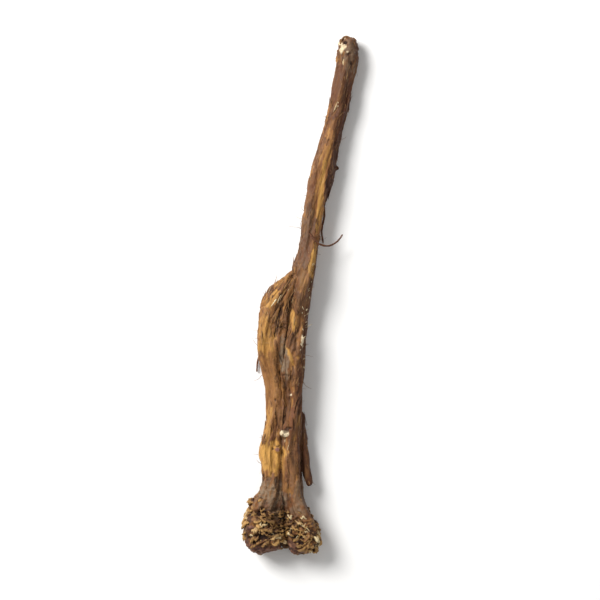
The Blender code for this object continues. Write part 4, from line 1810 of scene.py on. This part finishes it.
@dataclass(frozen=True)
class TornTissue:
    """Dry torn root tissue: papery scales, splinters and flakes. A scale is painted dark at its foot, as
    shade where it meets the skin, and golden towards its free edge, partly its own colour and partly a
    painted highlight.

    It is matt, and its form is painted in light and dark, with a pale edge here and there.
    """

    name: str = "torn_root_tissue"
    # The darkest colour, given to the dark mottle and, as painted shade, to a scale's foot
    base: str = "#22130C"
    middle: str = "#603F24"
    # The golden colour towards a scale's free edge, partly a painted highlight
    edge: str = "#BE9356"
    pale: str = "#E0CB9E"
    pale_share: float = 0.8
    # The patterns' sizes, in millimetres
    mottle: float = 0.8
    fibre: float = 0.22
    contrast: float = 1.5
    # How much lighter the lightest piece is than the darkest
    tone_reach: float = 0.5
    ior: float = 1.46
    specular: float = 0.35
    roughness: float = 0.62

    def build(self) -> bpy.types.Material:
        """Makes the material.

        Returns:
            The finish of the torn pieces.
        """
        material = bpy.data.materials.new(self.name)
        material.use_nodes = True
        tree = material.node_tree
        tree.nodes.clear()
        place = node(tree, "TexCoord").outputs["Object"]
        # Object coordinates are in metres, so the scale is one over the pattern's size
        blotch = node(
            tree, "TexNoise", {"Scale": 1 / (self.mottle * MM), "Detail": 4.0, "Roughness": 0.6}, Vector=place
        )
        fine = node(
            tree, "TexNoise",
            {"Scale": 1 / (self.fibre * MM), "Detail": 3.0, "Roughness": 0.6, "Distortion": 1.2},
            Vector=place,
        )
        mixed = node(tree, "Math", {"operation": "ADD"}, i0=fine, i1=blotch)
        edge = node(tree, "Attribute", {"attribute_name": "edge"}).outputs["Fac"]
        tone = node(tree, "Attribute", {"attribute_name": "tone"}).outputs["Fac"]
        # Each piece's tone and its nearness to a free edge make it lighter: painted shade at a scale's foot
        # and a painted highlight towards its edge
        toned = node(tree, "Math", {"operation": "MULTIPLY_ADD", 1: self.tone_reach}, i0=tone, i2=edge)
        shifted = node(tree, "Math", {"operation": "MULTIPLY_ADD", 1: self.contrast}, i0=mixed, i2=toned)
        # On average the two noises add up to one, so the level starts near the contrast
        level = node(
            tree, "MapRange",
            {"From Min": self.contrast - 0.1, "From Max": self.contrast + 0.8 + self.tone_reach},
            Value=shifted,
        )
        colour = node(
            tree, "ValToRGB", {"stops": ((0.0, self.base), (0.45, self.middle), (1.0, self.edge))}, Fac=level
        )
        bright = node(tree, "MapRange", {"From Min": self.pale_share, "From Max": 1.0}, Value=tone)
        share = node(tree, "Math", {"operation": "MULTIPLY"}, i0=bright, i1=level)
        colour = node(tree, "Mix", {"data_type": "RGBA", 7: linear(self.pale)}, i0=share, i6=colour)
        bump = node(tree, "Bump", {"Strength": 0.9, "Distance": 0.2 * MM}, Height=mixed)
        shader = node(
            tree, "BsdfPrincipled",
            {"IOR": self.ior, "Specular IOR Level": self.specular, "Roughness": self.roughness},
            Base_Color=colour, Normal=bump,
        )
        node(tree, "OutputMaterial", Surface=shader)
        return material


@dataclass(frozen=True)
class DriedBark:
    """Dried root bark, peeled by handling: grey-brown cork over a golden fibrous layer, satin with dust.

    Cork is matt and fibre has a low sheen, so the eye gets brown plates with golden edges, creases painted
    dark red-brown as shade, and small sparkles where fibres catch the light.
    """

    cork: str = "#765030"
    cork_dark: str = "#553720"
    cork_red: str = "#6C4227"
    # The colour of the painted shade on the right side and the side strand, and of the darker bark patches
    shade: str = "#482615"
    tan: str = "#8A5E33"
    gold: str = "#A0733A"
    brown: str = "#764A28"
    even: str = "#80572F"
    ochre: str = "#BC8C46"
    ochre_dark: str = "#96682F"
    # The dark red-brown of the painted shade in creases, cracks, pits and grooves
    crease: str = "#2E1911"
    dust: str = "#7A6853"
    cream: str = "#E0CDAA"
    crust: str = "#8C6738"
    rim: str = "#684334"
    rim_light: str = "#8A634C"
    knot: str = "#80574A"
    # Each pattern's size across the grain and along it in millimetres, its detail and its offset
    streak: tuple[float, float, float, float] = (0.18, 2.0, 4.0, 0.0)
    wide_streak: tuple[float, float, float, float] = (1.0, 6.0, 4.0, 9.0)
    mottle: tuple[float, float, float, float] = (2.6, 6.5, 3.0, 3.0)
    speck: tuple[float, float, float, float] = (0.22, 0.3, 2.0, 5.0)
    crinkle: tuple[float, float, float, float] = (0.55, 2.2, 5.0, 4.0)
    dusting: tuple[float, float, float, float] = (0.8, 1.6, 4.0, 2.0)
    crumble: tuple[float, float, float, float] = (1.1, 0.8, 4.0, 7.0)
    ior: float = 1.46
    # Porous bark reflects less than a smooth surface of its IOR
    specular: float = 0.3
    roughness_low: float = 0.42
    roughness_high: float = 0.8

    def build(self) -> bpy.types.Material:
        """Makes the material.

        Returns:
            The finish of the root's skin.
        """
        material = bpy.data.materials.new("dried_root_bark")
        material.use_nodes = True
        tree = material.node_tree
        tree.nodes.clear()
        mask = {
            name: node(tree, "Attribute", {"attribute_name": name}).outputs["Fac"]
            for name in (
                "plate", "hollow", "ochre", "dust", "cream", "knot", "crown", "rim", "calm", "flank", "crest"
            )
        }
        # The grain attribute holds millimetres across, up and along the strand
        grain = node(tree, "Attribute", {"attribute_name": "grain"}).outputs["Vector"]
        pattern = {}
        for name in ("streak", "wide_streak", "mottle", "speck", "crinkle", "dusting", "crumble"):
            across, along, detail, offset = getattr(self, name)
            place = {"Scale": (1 / across, 1 / across, 1 / along), "Location": (offset,) * 3}
            scaled = node(tree, "Mapping", place, Vector=grain)
            pattern[name] = node(
                tree, "TexNoise", {"Scale": 1.0, "Detail": detail, "Roughness": 0.55}, Vector=scaled
            )

        colour = self.layers(tree, mask, pattern)
        # Streaks run through every layer
        light = node(
            tree, "MapRange", {"From Min": 0.3, "From Max": 0.7, "To Min": 0.78, "To Max": 1.2},
            Value=pattern["streak"],
        )
        streaked = node(tree, "VectorMath", {"operation": "SCALE"}, Vector=colour, Scale=light)
        rough = node(
            tree, "MapRange",
            {"From Min": 0.35, "From Max": 0.65, "To Min": self.roughness_low, "To Max": self.roughness_high},
            Value=pattern["streak"],
        )
        folds = node(tree, "Bump", {"Strength": 0.7, "Distance": 0.3 * MM}, Height=pattern["crinkle"])
        grooves = node(
            tree, "Bump", {"Strength": 0.8, "Distance": 0.12 * MM}, Height=pattern["streak"], Normal=folds
        )
        bump = node(
            tree, "Bump", {"Strength": 0.5, "Distance": 0.1 * MM}, Height=pattern["speck"], Normal=grooves
        )
        shader = node(
            tree, "BsdfPrincipled", {"IOR": self.ior, "Specular IOR Level": self.specular},
            Base_Color=streaked, Roughness=rough, Normal=bump,
        )
        node(tree, "OutputMaterial", Surface=shader)
        return material

    def layers(
        self, tree: bpy.types.NodeTree, mask: dict[str, bpy.types.NodeSocket],
        pattern: dict[str, bpy.types.Node],
    ) -> bpy.types.Node:
        """Lays the bark's colours over each other.

        Args:
            tree: The material's node tree.
            mask: The skin's masks by name.
            pattern: The patterns by name.

        Returns:
            The node that gives the colour.
        """
        ramps = {
            "inner": ("wide_streak", ((0.34, self.brown), (0.5, self.tan), (0.68, self.gold))),
            "outer": ("mottle", (
                (0.34, self.cork_dark), (0.48, self.cork), (0.62, self.cork_red), (0.7, self.cork)
            )),
            "ochre": ("wide_streak", ((0.35, self.ochre_dark), (0.5, self.ochre), (0.62, self.ochre))),
            "crust": ("crumble", ((0.4, self.cork_dark), (0.5, self.brown), (0.62, self.crust))),
            "rim": ("crumble", ((0.35, self.crease), (0.5, self.rim), (0.66, self.rim_light))),
        }
        layer = {
            name: node(tree, "ValToRGB", {"stops": stops}, Fac=pattern[source])
            for name, (source, stops) in ramps.items()
        }
        # The crests are lightened to gold, partly as rubbed crests and partly as a painted highlight on the
        # ridge tops
        worn = node(tree, "MapRange", {"From Min": 0.7, "From Max": 1.0, "To Max": 0.4}, Value=mask["crest"])
        worn = node(tree, "Math", {"operation": "MULTIPLY"}, i0=worn, i1=pattern["mottle"])
        # The painted shade of the right side and the side strand, and the darker bark patches
        painted_shade_side = node(tree, "Math", {"operation": "MULTIPLY", 1: 0.95}, i0=mask["flank"])
        dusty = node(
            tree, "MapRange", {"From Min": 0.32, "From Max": 0.56, "To Max": 0.85}, Value=pattern["dusting"]
        )
        dusty = node(tree, "Math", {"operation": "MULTIPLY"}, i0=dusty, i1=mask["dust"])
        even = node(tree, "Math", {"operation": "MULTIPLY", 1: 0.6}, i0=mask["calm"])
        colour = node(
            tree, "Mix", {"data_type": "RGBA"}, i0=mask["plate"], i6=layer["inner"], i7=layer["outer"]
        )
        # From the lowest layer to the highest: where each shows, and its plain colour or its ramp
        for share, top in (
            (even, self.even), (painted_shade_side, self.shade), (mask["ochre"], layer["ochre"]), (dusty, self.dust),
            (mask["crown"], layer["crust"]), (mask["rim"], layer["rim"]), (worn, self.gold),
            (mask["knot"], self.knot), (mask["hollow"], self.crease), (mask["cream"], self.cream),
        ):
            if isinstance(top, str):
                colour = node(tree, "Mix", {"data_type": "RGBA", 7: linear(top)}, i0=share, i6=colour)
            else:
                colour = node(tree, "Mix", {"data_type": "RGBA"}, i0=share, i6=colour, i7=top)
        return colour


@dataclass
class Studio:
    """A pale floor, soft light from the upper left, and the camera straight above."""

    floor_size: float = 1.6
    floor_colour: str = "#F6F5F3"
    floor_roughness: float = 0.9
    # The share of the picture's height that the root fills, and the camera's height above its middle
    fills: float = 0.88
    distance: float = 0.9
    aim_height: float = 0.006
    # Each light's place and side in metres, and its power in watts
    key: tuple[Triple, float, float] = ((-0.48, 0.36, 0.52), 0.4, 9.6)
    fill: tuple[Triple, float, float] = ((0.6, -0.3, 0.7), 0.9, 0.6)
    world_light: float = 0.4

    def build(self) -> None:
        """Makes the floor, the lights, the world and the camera."""
        self.floor()
        self.lamp("key", *self.key)
        self.lamp("fill", *self.fill)
        world = bpy.data.worlds.new("studio")
        world.use_nodes = True
        sky = world.node_tree.nodes["Background"]
        sky.inputs["Color"].default_value = (1.0, 1.0, 1.0, 1.0)
        sky.inputs["Strength"].default_value = self.world_light
        bpy.context.scene.world = world
        bpy.context.scene.view_settings.view_transform = "Standard"
        self.camera()

    def floor(self) -> None:
        """Makes the pale floor that the root lies on."""
        material = bpy.data.materials.new("matt_white_card")
        material.use_nodes = True
        shader = material.node_tree.nodes["Principled BSDF"]
        shader.inputs["Base Color"].default_value = linear(self.floor_colour)
        shader.inputs["Roughness"].default_value = self.floor_roughness
        shape = bmesh.new()
        bmesh.ops.create_grid(shape, x_segments=1, y_segments=1, size=self.floor_size / 2)
        finished("floor", shape, material)

    def lamp(self, name: str, place: Triple, size: float, power: float) -> None:
        """Hangs a soft square light that points at the root.

        Args:
            name: The light's name.
            place: Where it hangs, in metres.
            size: Its side, in metres.
            power: Its power, in watts.
        """
        light = bpy.data.lights.new(name, "AREA")
        light.size = size
        light.energy = power
        lamp = bpy.data.objects.new(name, light)
        lamp.location = place
        lamp.rotation_euler = (-Vector(place)).to_track_quat("-Z", "Y").to_euler()
        bpy.context.scene.collection.objects.link(lamp)

    def camera(self) -> None:
        """Sets the camera straight above the root, with the crown at the bottom of the picture."""
        low, high = CAD_BOX
        length = high[1] - low[1]
        view = bpy.data.cameras.new("camera")
        view.angle = 2 * math.atan(length / self.fills / 2 / self.distance)
        camera = bpy.data.objects.new("camera", view)
        camera.location = ((low[0] + high[0]) / 2, (low[1] + high[1]) / 2, self.distance + self.aim_height)
        bpy.context.scene.collection.objects.link(camera)
        bpy.context.scene.camera = camera


def main() -> None:
    """Builds the pieces in order and reports each."""
    logging.basicConfig(level=logging.INFO, format="%(name)s: %(message)s")
    bark = Bark()
    skin = bark.skin()
    skin_map = bark.dress(skin, DriedBark().build())
    fibre = TornTissue(
        "torn_fibre", base="#4A2F1E", middle="#7C5836", edge="#A67E4C", pale="#E4D4AE", pale_share=0.92
    ).build()
    cork = TornTissue(
        "loose_cork", base="#45291A", middle="#6B472C", edge="#8A623C", pale_share=0.93
    ).build()
    thin_bark = TornTissue(
        "thin_root_bark", base="#3A2014", middle="#5E3720", edge="#84532F", pale_share=0.98
    ).build()
    hair = TornTissue("root_hair", middle="#6E4D33", edge="#94714B").build()
    pieces = [
        skin,
        CrownScales().build(skin_map, TornTissue("dried_leaf_bases").build()),
        TornFibres().build(skin_map, fibre),
        BarkFlakes().build(skin_map, cork),
        Rootlets().build(thin_bark),
        Rootlets().build_hairs(skin_map, hair),
    ]
    for piece in pieces:
        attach(piece, BODY)
        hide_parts(NODE)
        LOG.info("%s: %d vertices, %d faces", piece.name, len(piece.data.vertices), len(piece.data.polygons))
    Studio().build()


if __name__ == "__main__":
    main()
